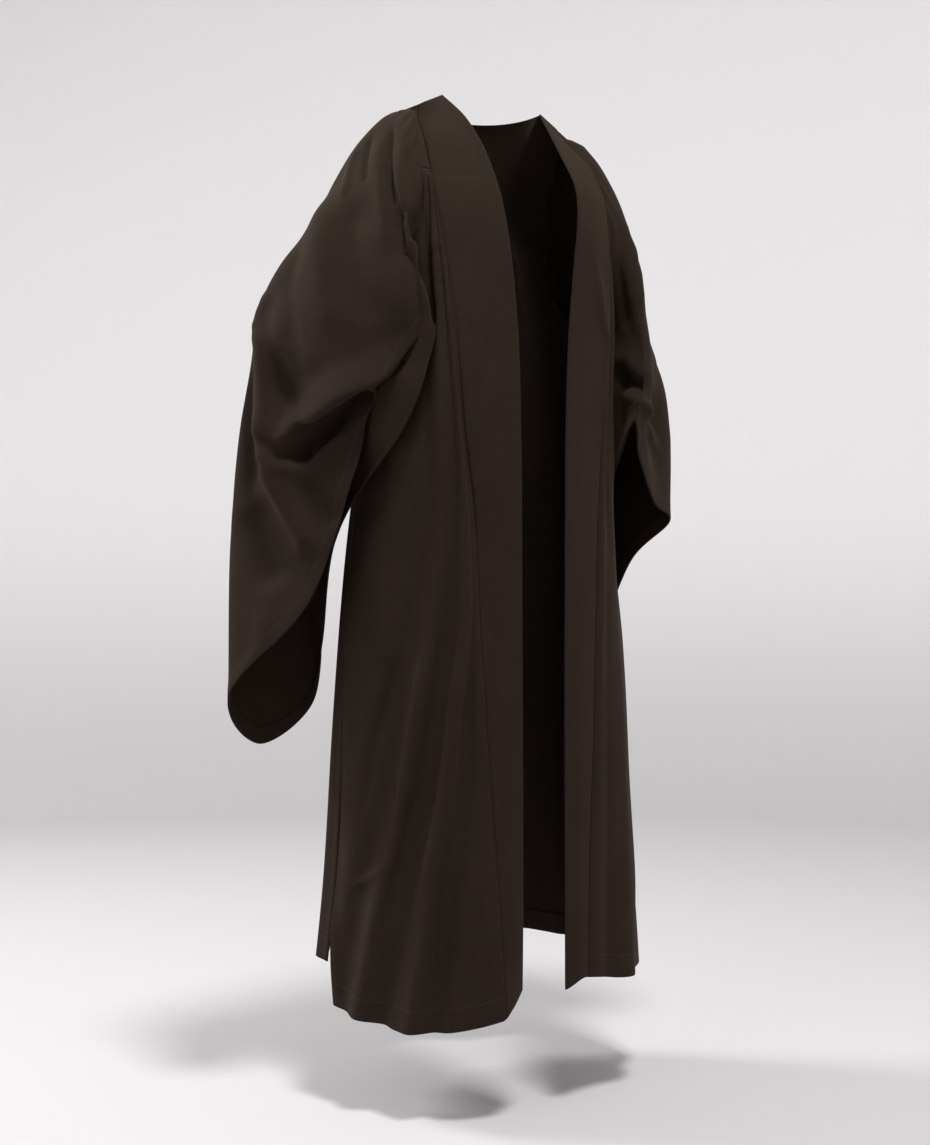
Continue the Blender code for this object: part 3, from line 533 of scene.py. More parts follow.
def front_point(hand, level, rail):
    """Points of one front at some levels, on its open edge (rail 0) or its band seam (rail 1)."""
    table = RIGHT_FRONT if hand == RIGHT else LEFT_FRONT
    return points(hand * at_level(table, level, 1 + 2 * rail), at_level(table, level, 2 + 2 * rail), level)


def body_turn(below):
    """How far the cloth has turned from its flat armhole (0) to the round body (1), by the
    distance below the yoke."""
    return smooth(below / ARMHOLE_EASE)


def shares(count, width, seams):
    """Places from 0 to 1 over a panel of that width, closer together beside the seams named."""
    even = np.linspace(0.0, 1.0, count)
    extra = [distance / width for distance in SEAM_COLUMNS]
    near = [share for share in extra if "start" in seams] + [1 - share for share in extra if "end" in seams]
    clear = [share for share in even if min(abs(share - other) for other in near + [FAR_AWAY]) > 0.3 / count]
    return np.array(sorted(clear + near))


def band_surface(hand):
    """Front band from the shoulder ridge to the hem, between its open edge and its seam."""
    hem = RIGHT_FRONT_HEM if hand == RIGHT else LEFT_FRONT_HEM
    across, down = np.meshgrid(shares(BAND_GRID[1], BAND_WIDTH, "end"), np.linspace(0, 1, BAND_GRID[0]))
    top = SHOULDER_FALL * across
    level = top + (ease(hem, across, 1) - top) * down
    edge, seam = front_point(hand, level, 0), front_point(hand, level, 1)
    rows = edge + (seam - edge) * across[..., None]
    rows[..., 1] -= BAND_CROWN * np.sin(np.pi * across) * np.minimum(1.0, down / BAND_CROWN_START)
    # Its top edge is drawn onto the shoulder ridge, where it meets the yoke
    start = np.array([yoke_top(hand, 1 + (TAB_START - 1) * share) for share in across[0]])
    return rows + (start - rows[0]) * (1 - smooth(down / BAND_TURN))[..., None]


def front_surface(hand):
    """Front panel from the yoke seam and armhole to the hem, between band seam and side seam."""
    hem = RIGHT_FRONT_HEM if hand == RIGHT else LEFT_FRONT_HEM
    columns = shares(FRONT_GRID[1], FRONT_WIDTH, ("start", "end"))
    across, down = np.meshgrid(columns, np.linspace(0, 1, FRONT_GRID[0]))
    level = YOKE_FRONT_LEVEL + (ease(hem, 1 + across, 1) - YOKE_FRONT_LEVEL) * down
    seam, side = front_point(hand, level, 1), side_point(hand, level, -1)
    if hand == RIGHT:
        side[..., 0] += HEM_TUCK * np.maximum(0.0, (HEM_TUCK_TOP - level) / (HEM_TUCK_TOP - hem[-1][1]))
    span = length(side - seam)[..., 0]
    pull = FRONT_PULL[0] + (FRONT_PULL[1] - FRONT_PULL[0]) * down
    leave = points(hand * pull * span, -FRONT_DIP * span, 0 * span)
    turn = body_turn(YOKE_FRONT_LEVEL - level)
    arrive = points(hand * (1 - turn) * span, (SIDE_PULL[0] + SIDE_PULL[1] * turn) * span, 0 * span)
    rows = cubic(seam, leave, side, arrive, across[..., None])
    folds = RIGHT_FRONT_FOLDS if hand == RIGHT else LEFT_FRONT_FOLDS
    return folded(eased(rows, across), across, down, folds, hand)


def back_surface():
    """Back panel from the yoke seam and armholes to the hem, right side seam to left."""
    columns = shares(BACK_GRID[1], BACK_WIDTH, ("start", "end"))
    across, down = np.meshgrid(columns, np.linspace(0, 1, BACK_GRID[0]))
    inward = 1 - np.abs(2 * across - 1)
    hem = np.where(across < 0.5, ease(RIGHT_BACK_HEM, 2 + inward, 1), ease(LEFT_BACK_HEM, 2 + inward, 1))
    level = YOKE_BACK_LEVEL + (hem - YOKE_BACK_LEVEL) * down
    right, left = back_point(RIGHT, level, inward), back_point(LEFT, level, inward)
    rows = np.where(across[..., None] < 0.5, right, left)
    rows = folded(eased(rows, across), across, down, BACK_FOLDS, -1)
    return gathered(rows, across, down, BACK_GATHERS, -1)


def back_point(hand, level, inward):
    """Points of the back at some levels, from the side (inward 0) to the centre (inward 1)."""
    side = side_point(hand, level, 1)
    centre = points(0.0, at_level(BODY, level, 4), level)
    reach = centre[..., 1] - side[..., 1]
    turn = body_turn(YOKE_BACK_LEVEL - level)
    leave = points(-hand * BACK_ARMHOLE_PULL * (1 - turn),
                   reach * (BACK_SIDE_PULL[0] + BACK_SIDE_PULL[1] * turn), 0.0)
    arrive = points(-hand * np.abs(side[..., 0]) * BACK_CENTRE_PULL, 0.0, 0.0)
    return cubic(side, leave, centre, arrive, np.asarray(inward)[..., None])


def outward(rows, hand, closed=False):
    """Unit normals of a grid of points, out of the gown where hand is right for the panel."""
    if closed:
        across = np.roll(rows, -1, axis=1) - np.roll(rows, 1, axis=1)
    else:
        across = np.gradient(rows, axis=1)
    up = -np.gradient(rows, axis=0)
    normal = np.cross(across, up) * hand
    return normal / np.maximum(length(normal), 1e-12)


def folded(rows, across, down, folds, hand):
    """The same grid with its long folds pushed out or in, square to the cloth."""
    shift = np.zeros(across.shape)
    for at_top, at_middle, at_hem, half_width, deep_top, deep_middle, deep_hem in folds:
        centre = ease(((0.0, at_top), (0.5, at_middle), (1.0, at_hem)), down, 1)
        depth = ease(((0.0, deep_top), (0.5, deep_middle), (1.0, deep_hem)), down, 1)
        shift += depth * np.exp(-((across - centre) / half_width) ** 2)
    shift *= np.clip(np.minimum(across, 1 - across) / FOLD_SIDE_FADE, 0.0, 1.0)
    shift *= np.clip(down / FOLD_TOP_FADE, 0.0, 1.0)
    return rows + outward(rows, hand) * shift[..., None]


def eased(rows, across):
    """The same grid with its rows evened out up and down, away from the sewn sides."""
    even = rows
    for _ in range(EASED_TIMES):
        padded = np.pad(even, ((EASED_ROWS, EASED_ROWS), (0, 0), (0, 0)), mode="reflect", reflect_type="odd")
        total = np.cumsum(padded, axis=0)
        total = np.concatenate((np.zeros_like(total[:1]), total))
        window = 2 * EASED_ROWS + 1
        even = (total[window:] - total[:-window]) / window
    share = smooth(np.minimum(across, 1 - across) / FOLD_SIDE_FADE)
    return rows + (even - rows) * share[..., None]


def gathered(rows, across, down, gathers, hand):
    """The same grid with small gathers that start at its top seam and die away below it."""
    shift = np.zeros(across.shape)
    for at, drift, half_width, depth, run in gathers:
        away = (across - at - drift * down) / (half_width * (1 + GATHER_SPREAD * down))
        fade = np.clip(1 - down / run, 0.0, 1.0) ** 1.5 * smooth(down / GATHER_RISE)
        shift += depth * fade * np.exp(-away ** 2)
    return rows + outward(rows, hand) * shift[..., None]


def sleeve_surface(hand):
    """Bell sleeve from the armhole to its mouth, closed round the arm from its underarm seam."""
    rings = RIGHT_SLEEVE if hand == RIGHT else LEFT_SLEEVE
    creases = RIGHT_SLEEVE_CREASES if hand == RIGHT else LEFT_SLEEVE_CREASES
    along = np.linspace(0, 1, SLEEVE_GRID[0]) ** SLEEVE_CROWDING
    knots = []
    for index, degrees in enumerate(LINE_ANGLES):
        stops = [armhole(math.radians(degrees))] + [np.array(ring[index]) for ring in rings]
        table = [(station,) + tuple(stop) for station, stop in zip(RING_STATIONS, stops)]
        knots.append(points(*(ease(table, along, axis) for axis in (1, 2, 3))))
    knots = np.stack(knots, axis=1)
    count = len(LINE_ANGLES)
    place = (UNDERARM_LINE + np.arange(SLEEVE_GRID[1]) / SLEEVE_GRID[1] * count) % count
    k = place.astype(int)
    before, here, after, beyond = (knots[:, (k + step) % count] for step in (-1, 0, 1, 2))
    rows = cubic(here, (after - before) / 2, after, (beyond - here) / 2, (place - k)[None, :, None])
    rows[..., 0] *= hand
    stations = [(station, index) for index, station in enumerate(RING_STATIONS)]
    line, ring = np.meshgrid(place, ease(stations, along, 1))
    # The ten lines only come near the oval between them, so the first rows are drawn onto it
    angle = np.radians(np.interp(place, range(count + 1), LINE_ANGLES + (360.0,)))
    start = armhole(angle) * (hand, 1, 1)
    rows = rows + (start - rows[0]) * (1 - smooth(ring / OVAL_RINGS))[..., None]
    shift = sum(crease_depth(crease, ring, line) for crease in creases)
    shift = shift + gather_depth(ring, line)
    shift[0] = 0.0
    return rows + outward(rows, hand, closed=True) * shift[..., None]


def crease_depth(crease, ring, line):
    """How far one crease stands out over the rings and lines of its sleeve."""
    ring_a, line_a, ring_b, line_b, half_width, deep_a, deep_b = crease
    count = len(LINE_ANGLES)
    line = line_a + (line - line_a + count / 2) % count - count / 2
    run = np.array((ring_b - ring_a, line_b - line_a))
    place = np.stack((ring - ring_a, line - line_a), axis=-1)
    t = np.clip(place @ run / (run @ run), 0.0, 1.0)
    away = length(place - t[..., None] * run)[..., 0]
    return (deep_a + (deep_b - deep_a) * t) * np.exp(-(away / half_width) ** 2)


def gather_depth(ring, line):
    """Small uneven gathers of the sleeve head, deepest just below the armhole seam."""
    count = len(LINE_ANGLES)
    shift = np.zeros(ring.shape)
    for at, drift, half_width, depth, run in SLEEVE_GATHERS:
        off = (line - at - drift * ring + count / 2) % count - count / 2
        fade = np.clip(1 - ring / run, 0.0, 1.0) ** 1.5 * smooth(ring / GATHER_START)
        shift += depth * fade * np.exp(-(off / (half_width * (1 + ring))) ** 2)
    return shift


def on_photo(places):
    """Pixel of each point in the photograph."""
    sine, cosine = math.sin(-CAMERA_AZIMUTH), math.cos(CAMERA_AZIMUTH)
    away = CAMERA_DISTANCE + sine * places[..., 0] + cosine * places[..., 1]
    x = AIM_PIXEL[0] + PIXELS_PER_TANGENT * (cosine * places[..., 0] - sine * places[..., 1]) / away
    y = AIM_PIXEL[1] - PIXELS_PER_TANGENT * (places[..., 2] - CAMERA_LEVEL) / away
    return np.stack((x, y), axis=-1)


def camera_place():
    """Where the photograph's camera stands."""
    return np.array((CAMERA_DISTANCE * math.sin(CAMERA_AZIMUTH),
                     -CAMERA_DISTANCE * math.cos(CAMERA_AZIMUTH), CAMERA_LEVEL))


def seen_at(rows, normals, pixels):
    """Points of the cloth that the camera sees at some pixels of the photograph."""
    hidden = np.sum(normals * (camera_place() - rows), axis=-1) <= 0
    seen = on_photo(rows) + UNSEEN * hidden[..., None]
    found = []
    for pixel in pixels:
        miss = np.linalg.norm(seen - np.array(pixel, dtype=float), axis=-1)
        found.append(rows[np.unravel_index(np.argmin(miss), miss.shape)])
    return np.array(found)


def lying_at(rows, shares_of_panel):
    """Points of the cloth at some (across, down) shares of its grid."""
    tall, wide = rows.shape[0] - 1, rows.shape[1] - 1
    return np.array([rows[round(down * tall), round(across * wide)] for across, down in shares_of_panel])


def run_past(rows, path):
    """Distance of every point of a grid from a path, and how far along it the nearest place is."""
    steps = np.linalg.norm(np.diff(path, axis=0), axis=1)
    total = steps.sum()
    best = np.full(rows.shape[:2], FAR_AWAY)
    along = np.zeros(rows.shape[:2])
    walked = 0.0
    for start, end, step in zip(path[:-1], path[1:], steps):
        if step == 0:
            continue
        t = np.clip((rows - start) @ (end - start) / step ** 2, 0.0, 1.0)
        away = length(rows - start - t[..., None] * (end - start))[..., 0]
        nearer = away < best
        along = np.where(nearer, (walked + t * step) / total, along)
        best = np.minimum(best, away)
        walked += step
    return best, along


def creased(rows, normals, creases):
    """The same grid with small creases pushed out, or in where their depth is negative."""
    moved = rows
    for kind, half_width, depth, places in creases:
        path = lying_at(rows, places) if kind == "share" else seen_at(rows, normals, places)
        away, along = run_past(rows, path)
        taper = smooth(np.minimum(along, 1 - along) / CREASE_TAPER)
        part = depth * np.exp(-(away / half_width) ** 2) * (0.15 + 0.85 * taper)
        if kind == "sagging":
            moved = moved + (normals * SAG_OUT - (0, 0, SAG_DOWN)) * part[..., None]
        else:
            moved = moved + normals * part[..., None]
    return moved


def wavering(across, down, size, seed):
    """Soft unevenness of hanging cloth: a few slow waves, mostly up and down the panel."""
    generator = np.random.default_rng(seed)
    total = np.zeros(across.shape)
    for _ in range(WAVES):
        wide = generator.uniform(*WAVE_ACROSS)
        tall = generator.uniform(*WAVE_DOWN)
        phase = generator.uniform(0, 2 * np.pi)
        total += np.sin(2 * np.pi * (across / wide + down / tall) + phase)
    return size * total / math.sqrt(WAVES)


def travelled(rows, axis):
    """Distance run over the cloth from the grid's first column (axis 1) or row (axis 0)."""
    steps = np.linalg.norm(np.diff(rows, axis=axis), axis=-1)
    start = np.zeros_like(np.take(steps, [0], axis=axis))
    return np.concatenate((start, np.cumsum(steps, axis=axis)), axis=axis)


def from_edges(rows):
    """Distance of each point of a grid from its four edges, by name."""
    across, down = travelled(rows, 1), travelled(rows, 0)
    return {"start": across, "end": across[:, -1:] - across, "top": down, "hem": down[-1:] - down}


def sunk(rows, hand, edges, closed=False):
    """The same grid rolled inward beside its sewn edges, as pressed seams pull the cloth in."""
    away = from_edges(rows)
    roll = sum(np.clip(1 - away[edge] / SEAM_ROLL, 0.0, 1.0) ** 2 for edge in edges)
    if "top" not in edges:
        roll = roll * np.minimum(1.0, away["top"] / SEAM_FADE)
    return rows - outward(rows, hand, closed) * (SEAM_SINK * np.minimum(roll, 1.0))[..., None]


def hemmed(rows, hand, depth, closed=False):
    """The same grid carried on round the hem's fold and back up inside for the depth of the hem."""
    normals = outward(rows, hand, closed)
    rise = travelled(rows[::-1], 0).mean(axis=1)
    count = int(np.searchsorted(rise, depth))
    fall = rows[-1] - rows[-2]
    fall /= length(fall)
    radius = HEM_LAY / 2
    fold = [rows[-1] + fall * radius * math.sin(turn) - normals[-1] * radius * (1 - math.cos(turn))
            for turn in (math.radians(30), math.radians(90), math.radians(150))]
    inside = (rows - normals * HEM_LAY)[::-1][:count]
    return np.concatenate((rows, np.array(fold), inside))


def cloth_piece(name, rows, hand, thickness, closed=False):
    """Object with a closed wall of that thickness round a grid of points, and rounded edges.
    Its UV map is in metres over the flat cloth, from the middle of the panel's top edge."""
    tall, wide = rows.shape[:2]
    normals = outward(rows, hand, closed)
    index = np.arange(tall * wide).reshape(tall, wide)
    across, down = travelled(rows, 1), travelled(rows, 0)
    if closed:
        last = across[:, -1:] + length(rows[:, 0] - rows[:, -1])
        across = np.concatenate((across, last), axis=1)
        down = np.concatenate((down, down[:, :1]), axis=1)
        index = np.concatenate((index, index[:, :1]), axis=1)
    flat = np.stack((across - across[:, -1:] / 2, -down), axis=-1)

    def corners(grid):
        return np.stack((grid[:-1, :-1], grid[1:, :-1], grid[1:, 1:], grid[:-1, 1:]), axis=2)

    quads = corners(index).reshape(-1, 4)
    quads_flat = corners(flat).reshape(-1, 4, 2)
    if closed:
        rings = [(np.array([(0, i) for i in range(wide + 1)])),
                 (np.array([(tall - 1, i) for i in range(wide, -1, -1)]))]
    else:
        ring = ([(0, i) for i in range(wide)] + [(j, wide - 1) for j in range(1, tall)]
                + [(tall - 1, i) for i in range(wide - 2, -1, -1)]
                + [(j, 0) for j in range(tall - 2, -1, -1)])
        rings = [np.array(ring)]
    total = tall * wide
    solid = [(rows + normals * thickness / 2).reshape(-1, 3),
             (rows - normals * thickness / 2).reshape(-1, 3)]
    faces = [quads, quads[:, ::-1] + total]
    faces_flat = [quads_flat, quads_flat[:, ::-1]]
    start = 2 * total
    for ring in rings:
        j, i = ring[:, 0], ring[:, 1]
        inside_j = np.clip(j, 1, tall - 2)
        inside_i = i % wide if closed else np.clip(i, 1, wide - 2)
        out = rows[j, i % wide] - rows[inside_j, inside_i]
        rim = rows[j, i % wide] + out / length(out) * thickness / 2
        solid.append(rim[:-1])
        count = len(ring) - 1
        here = index[j, i]
        edge = start + np.arange(count + 1) % count
        for first, second in ((here, edge), (edge, here + total)):
            faces.append(np.stack((first[:-1], first[1:], second[1:], second[:-1]), axis=1))
            near, far = flat[j, i][:-1], flat[j, i][1:]
            faces_flat.append(np.stack((near, far, far, near), axis=1))
        start += count
    faces, faces_flat = np.concatenate(faces), np.concatenate(faces_flat)
    if hand < 0:
        faces, faces_flat = faces[:, ::-1], faces_flat[:, ::-1]
    mesh = bpy.data.meshes.new(name)
    mesh.from_pydata(np.concatenate(solid).tolist(), [], faces.tolist())
    mesh.uv_layers.new(name=CLOTH_MAP).data.foreach_set("uv", faces_flat.reshape(-1).astype(np.float32))
    mesh.shade_smooth()
    piece = bpy.data.objects.new(name, mesh)
    bpy.context.scene.collection.objects.link(piece)
    return piece


def inset(rows, hand, edge, distance, closed=False):
    """Line on the cloth's face at a distance from one edge: its points and their normals."""
    normals = outward(rows, hand, closed)
    if edge in ("start", "end"):
        rows, normals = rows.transpose(1, 0, 2), normals.transpose(1, 0, 2)
    if edge in ("end", "hem"):
        rows, normals = rows[::-1], normals[::-1]
    away = travelled(rows, 0)
    place, lie = [], []
    for k in range(rows.shape[1]):
        place.append([np.interp(distance, away[:, k], rows[:, k, axis]) for axis in range(3)])
        lie.append([np.interp(distance, away[:, k], normals[:, k, axis]) for axis in range(3)])
    return np.array(place), np.array(lie), closed


def stitched(name, lines, thickness, thread):
    """Rows of stitches along lines on the cloth, as one plain mesh made by Geometry Nodes."""
    places, edges, lies = [], [], []
    for place, lie, closed in lines:
        start = sum(len(part) for part in places)
        places.append(place + lie * (thickness / 2 + STITCH_RISE))
        lies.append(lie)
        edges += [(start + k, start + k + 1) for k in range(len(place) - 1)]
        if closed:
            edges.append((start + len(place) - 1, start))
    mesh = bpy.data.meshes.new(name + "_lines")
    mesh.from_pydata(np.concatenate(places).tolist(), edges, [])
    lie = mesh.attributes.new("lie", "FLOAT_VECTOR", "POINT")
    lie.data.foreach_set("vector", np.concatenate(lies).reshape(-1))
    line = bpy.data.objects.new(name + "_lines", mesh)
    bpy.context.scene.collection.objects.link(line)
    modifier = line.modifiers.new("Stitches", "NODES")
    modifier.node_group = stitch_tree()
    values = {"Pitch": STITCH_PITCH, "Stitch size": STITCH_SIZE, "Unevenness": STITCH_TURN,
              "Seed": STITCH_SEED, "Thread": thread}
    for item in modifier.node_group.interface.items_tree:
        if item.in_out == "INPUT" and item.name in values:
            modifier[item.identifier] = values[item.name]
    bpy.context.view_layer.update()
    made = bpy.data.meshes.new_from_object(line.evaluated_get(bpy.context.evaluated_depsgraph_get()))
    made.name = name
    bpy.data.objects.remove(line)
    piece = bpy.data.objects.new(name, made)
    bpy.context.scene.collection.objects.link(piece)
    return piece


def add_node(tree, kind, settings=None, links=None):
    """Adds one node, with its settings and socket values by name, and the links that feed it."""
    node = tree.nodes.new(kind)
    for name, value in (settings or {}).items():
        if isinstance(name, int) or name in node.inputs.keys():
            node.inputs[name].default_value = value
        else:
            setattr(node, name, value)
    for name, source in (links or {}).items():
        tree.links.new(source, node.inputs[name])
    return node


def stitch_tree():
    """Geometry Nodes tree that lays one small thread bead at every pitch along each line."""
    tree = bpy.data.node_groups.get("Stitches")
    if tree:
        return tree
    tree = bpy.data.node_groups.new("Stitches", "GeometryNodeTree")
    face = tree.interface
    face.new_socket("Lines", in_out="INPUT", socket_type="NodeSocketGeometry")
    face.new_socket("Pitch", in_out="INPUT", socket_type="NodeSocketFloat")
    face.new_socket("Stitch size", in_out="INPUT", socket_type="NodeSocketVector")
    face.new_socket("Unevenness", in_out="INPUT", socket_type="NodeSocketFloat")
    face.new_socket("Seed", in_out="INPUT", socket_type="NodeSocketInt")
    face.new_socket("Thread", in_out="INPUT", socket_type="NodeSocketMaterial")
    face.new_socket("Stitches", in_out="OUTPUT", socket_type="NodeSocketGeometry")
    given = add_node(tree, "NodeGroupInput").outputs
    curve = add_node(tree, "GeometryNodeMeshToCurve", links={"Mesh": given["Lines"]})
    even = add_node(tree, "GeometryNodeResampleCurve", {"mode": "LENGTH"},
                    {"Curve": curve.outputs["Curve"], "Length": given["Pitch"]})
    tangent = add_node(tree, "GeometryNodeInputTangent")
    lie = add_node(tree, "GeometryNodeInputNamedAttribute", {"data_type": "FLOAT_VECTOR", "Name": "lie"})
    forward = add_node(tree, "FunctionNodeAlignRotationToVector", {"axis": "X"},
                       {"Vector": tangent.outputs["Tangent"]})
    upright = add_node(tree, "FunctionNodeAlignRotationToVector", {"axis": "Z", "pivot_axis": "X"},
                       {"Rotation": forward.outputs["Rotation"], "Vector": lie.outputs["Attribute"]})
    least = add_node(tree, "ShaderNodeMath", {"operation": "MULTIPLY", 1: -1.0}, {0: given["Unevenness"]})
    sway = add_node(tree, "FunctionNodeRandomValue", {"data_type": "FLOAT"},
                    {"Min": least.outputs[0], "Max": given["Unevenness"], "Seed": given["Seed"]})
    turn = add_node(tree, "FunctionNodeAxisAngleToRotation", {"Axis": (0.0, 0.0, 1.0)},
                    {"Angle": sway.outputs["Value"]})
    laid = add_node(tree, "FunctionNodeRotateRotation", {"rotation_space": "LOCAL"},
                    {"Rotation": upright.outputs["Rotation"], "Rotate By": turn.outputs["Rotation"]})
    bead = add_node(tree, "GeometryNodeMeshUVSphere", {"Segments": 6, "Rings": 4, "Radius": 0.5})
    soft = add_node(tree, "GeometryNodeSetShadeSmooth", links={"Geometry": bead.outputs["Mesh"]})
    placed = add_node(tree, "GeometryNodeInstanceOnPoints", links={
        "Points": even.outputs["Curve"], "Instance": soft.outputs["Geometry"],
        "Rotation": laid.outputs["Rotation"], "Scale": given["Stitch size"]})
    real = add_node(tree, "GeometryNodeRealizeInstances", links={"Geometry": placed.outputs["Instances"]})
    finish = add_node(tree, "GeometryNodeSetMaterial",
                      links={"Geometry": real.outputs["Geometry"], "Material": given["Thread"]})
    add_node(tree, "NodeGroupOutput", links={"Stitches": finish.outputs["Geometry"]})
    return tree


def linear(hex_colour):
    """Linear RGBA of an sRGB hex colour."""
    parts = [int(hex_colour[k:k + 2], 16) / 255 for k in (1, 3, 5)]
    return [part / 12.92 if part <= 0.04045 else ((part + 0.055) / 1.055) ** 2.4 for part in parts] + [1.0]


def new_material(name):
    """Empty node material with its Principled shader."""
    material = bpy.data.materials.new(name)
    material.use_nodes = True
    return material, material.node_tree, material.node_tree.nodes["Principled BSDF"]


def worsted(name, deep, plain, faded):
    """Plain-woven worsted, dyed black and faded to a warm charcoal brown: matt, with a dry bloom of
    fibre ends, fine slubs in both directions, and shoulders painted paler, partly for dust and
    partly as a painted highlight of the light from above."""
    material, tree, shader = new_material(name)
    flat = add_node(tree, "ShaderNodeUVMap", {"uv_map": CLOTH_MAP}).outputs["UV"]
    place = add_node(tree, "ShaderNodeTexCoord").outputs["Object"]
    # Threads lie about 0.5 mm apart. They are drawn at 1.2 mm, the finest that a close view shows
    warp = add_node(tree, "ShaderNodeTexWave", {
        "wave_type": "BANDS", "bands_direction": "X", "Scale": WAVE_PERIOD / THREAD_PITCH,
        "Distortion": 1.2, "Detail": 1.0, "Detail Scale": 0.6}, {"Vector": flat})
    weft = add_node(tree, "ShaderNodeTexWave", {
        "wave_type": "BANDS", "bands_direction": "Y", "Scale": WAVE_PERIOD / THREAD_PITCH,
        "Distortion": 1.2, "Detail": 1.0, "Detail Scale": 0.6}, {"Vector": flat})
    weave = add_node(tree, "ShaderNodeMath", {"operation": "MULTIPLY"},
                     {0: warp.outputs["Fac"], 1: weft.outputs["Fac"]})
    # Slubs: thicker and paler lengths of thread, drawn out along the warp and along the weft
    streaks = []
    for stretch in ((1.0, 0.03, 1.0), (0.03, 1.0, 1.0)):
        drawn = add_node(tree, "ShaderNodeMapping", {"Scale": stretch}, {"Vector": flat})
        streaks.append(add_node(tree, "ShaderNodeTexNoise", {
            "Scale": 1 / SLUB_WIDTH, "Detail": 2.0, "Roughness": 0.6}, {"Vector": drawn.outputs["Vector"]}))
    slub = add_node(tree, "ShaderNodeMath", {"operation": "ADD"},
                    {0: streaks[0].outputs["Fac"], 1: streaks[1].outputs["Fac"]})
    # Wear and painted light: slow cloudy fading, and shoulders painted paler, partly for dust and partly as
    # a painted highlight of the light from above
    cloud = add_node(tree, "ShaderNodeTexNoise", {"Scale": 1 / CLOUD_SIZE, "Detail": 3.0}, {"Vector": place})
    height = add_node(tree, "ShaderNodeSeparateXYZ", links={"Vector": place})
    shoulder = add_node(tree, "ShaderNodeMapRange", {
        "interpolation_type": "SMOOTHSTEP", "From Min": DUST_AND_TOP_LIGHT_FOOT, "From Max": 0.0,
        "To Min": 0.0, "To Max": DUST_AND_TOP_LIGHT_SHARE},
        {"Value": height.outputs["Z"]})
    worn = add_node(tree, "ShaderNodeMath", {"operation": "MULTIPLY_ADD", 1: 0.9},
                    {0: cloud.outputs["Fac"], 2: shoulder.outputs["Result"]})
    fade = add_node(tree, "ShaderNodeMapRange", {"From Min": 0.30, "From Max": 1.15},
                    {"Value": worn.outputs[0]})
    base = add_node(tree, "ShaderNodeMix", {"data_type": "RGBA", 6: linear(plain), 7: linear(faded)},
                    {0: fade.outputs["Result"]})
    grain = add_node(tree, "ShaderNodeMapRange", {"From Min": 0.10, "From Max": 1.25},
                     {"Value": slub.outputs[0]})
    slubbed = add_node(tree, "ShaderNodeMix", {"data_type": "RGBA", "blend_type": "MIX", 6: linear(deep)},
                       {0: grain.outputs["Result"], 7: base.outputs[2]})
    gaps = add_node(tree, "ShaderNodeMapRange", {"To Min": 0.80, "To Max": 1.12},
                    {"Value": weave.outputs[0]})
    colour = add_node(tree, "ShaderNodeVectorMath", {"operation": "SCALE"},
                      {0: slubbed.outputs[2], "Scale": gaps.outputs["Result"]})
    # Relief: soft crumple of the hanging cloth, the slubs, and the threads themselves
    crumple = add_node(tree, "ShaderNodeTexNoise", {
        "Scale": 1 / CRUMPLE_SIZE, "Detail": 3.0, "Roughness": 0.5}, {"Vector": place})
    soft = add_node(tree, "ShaderNodeBump", {"Strength": 0.35, "Distance": 0.0022},
                    {"Height": crumple.outputs["Fac"]})
    ribbed = add_node(tree, "ShaderNodeBump", {"Strength": 0.20, "Distance": 0.0003},
                      {"Height": slub.outputs[0], "Normal": soft.outputs["Normal"]})
    threads = add_node(tree, "ShaderNodeBump", {"Strength": 0.45, "Distance": 0.0003},
                       {"Height": weave.outputs[0], "Normal": ribbed.outputs["Normal"]})
    tree.links.new(colour.outputs["Vector"], shader.inputs["Base Color"])
    tree.links.new(threads.outputs["Normal"], shader.inputs["Normal"])
    shader.inputs["Roughness"].default_value = 0.88
    shader.inputs["Specular IOR Level"].default_value = 0.10
    shader.inputs["Sheen Weight"].default_value = 0.06
    shader.inputs["Sheen Roughness"].default_value = 0.55
    shader.inputs["Sheen Tint"].default_value = linear("#C8A488")
    return material


def sewing_thread():
    """Mercerised cotton thread, a shade paler than the cloth, with a slight gleam."""
    material, tree, shader = new_material("mercerised cotton thread")
    place = add_node(tree, "ShaderNodeTexCoord").outputs["Object"]
    tone = add_node(tree, "ShaderNodeTexNoise", {"Scale": 40.0, "Detail": 2.0}, {"Vector": place})
    colour = add_node(tree, "ShaderNodeMix", {
        "data_type": "RGBA", 6: linear("#241D19"), 7: linear("#3F352E")}, {0: tone.outputs["Fac"]})
    ply = add_node(tree, "ShaderNodeTexWave", {"wave_type": "BANDS", "bands_direction": "DIAGONAL",
                                               "Scale": 500.0}, {"Vector": place})
    twist = add_node(tree, "ShaderNodeBump", {"Strength": 0.3, "Distance": 0.0001},
                     {"Height": ply.outputs["Fac"]})
    tree.links.new(colour.outputs[2], shader.inputs["Base Color"])
    tree.links.new(twist.outputs["Normal"], shader.inputs["Normal"])
    shader.inputs["Roughness"].default_value = 0.55
    return material


def studio_paint():
    """Matt emulsion on a seamless studio cove, a little greyer on its floor, which gets more light."""
    material, tree, shader = new_material("matt studio emulsion")
    place = add_node(tree, "ShaderNodeTexCoord").outputs["Object"]
    height = add_node(tree, "ShaderNodeSeparateXYZ", links={"Vector": place})
    wall = add_node(tree, "ShaderNodeMapRange", {
        "interpolation_type": "SMOOTHSTEP", "From Min": FLOOR_LEVEL, "From Max": FLOOR_LEVEL + PAINT_BLEND},
        {"Value": height.outputs["Z"]})
    paint = add_node(tree, "ShaderNodeMix", {
        "data_type": "RGBA", 6: linear(FLOOR_PAINT), 7: linear(WALL_PAINT)}, {0: wall.outputs["Result"]})
    tree.links.new(paint.outputs[2], shader.inputs["Base Color"])
    shader.inputs["Roughness"].default_value = 0.95
    shader.inputs["Specular IOR Level"].default_value = 0.1
    return material


def put_on(piece, material, node):
    """Gives a cloth panel its finish and its place in the gown."""
    piece.data.materials.append(material)
    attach(piece, "root")
    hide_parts(node)


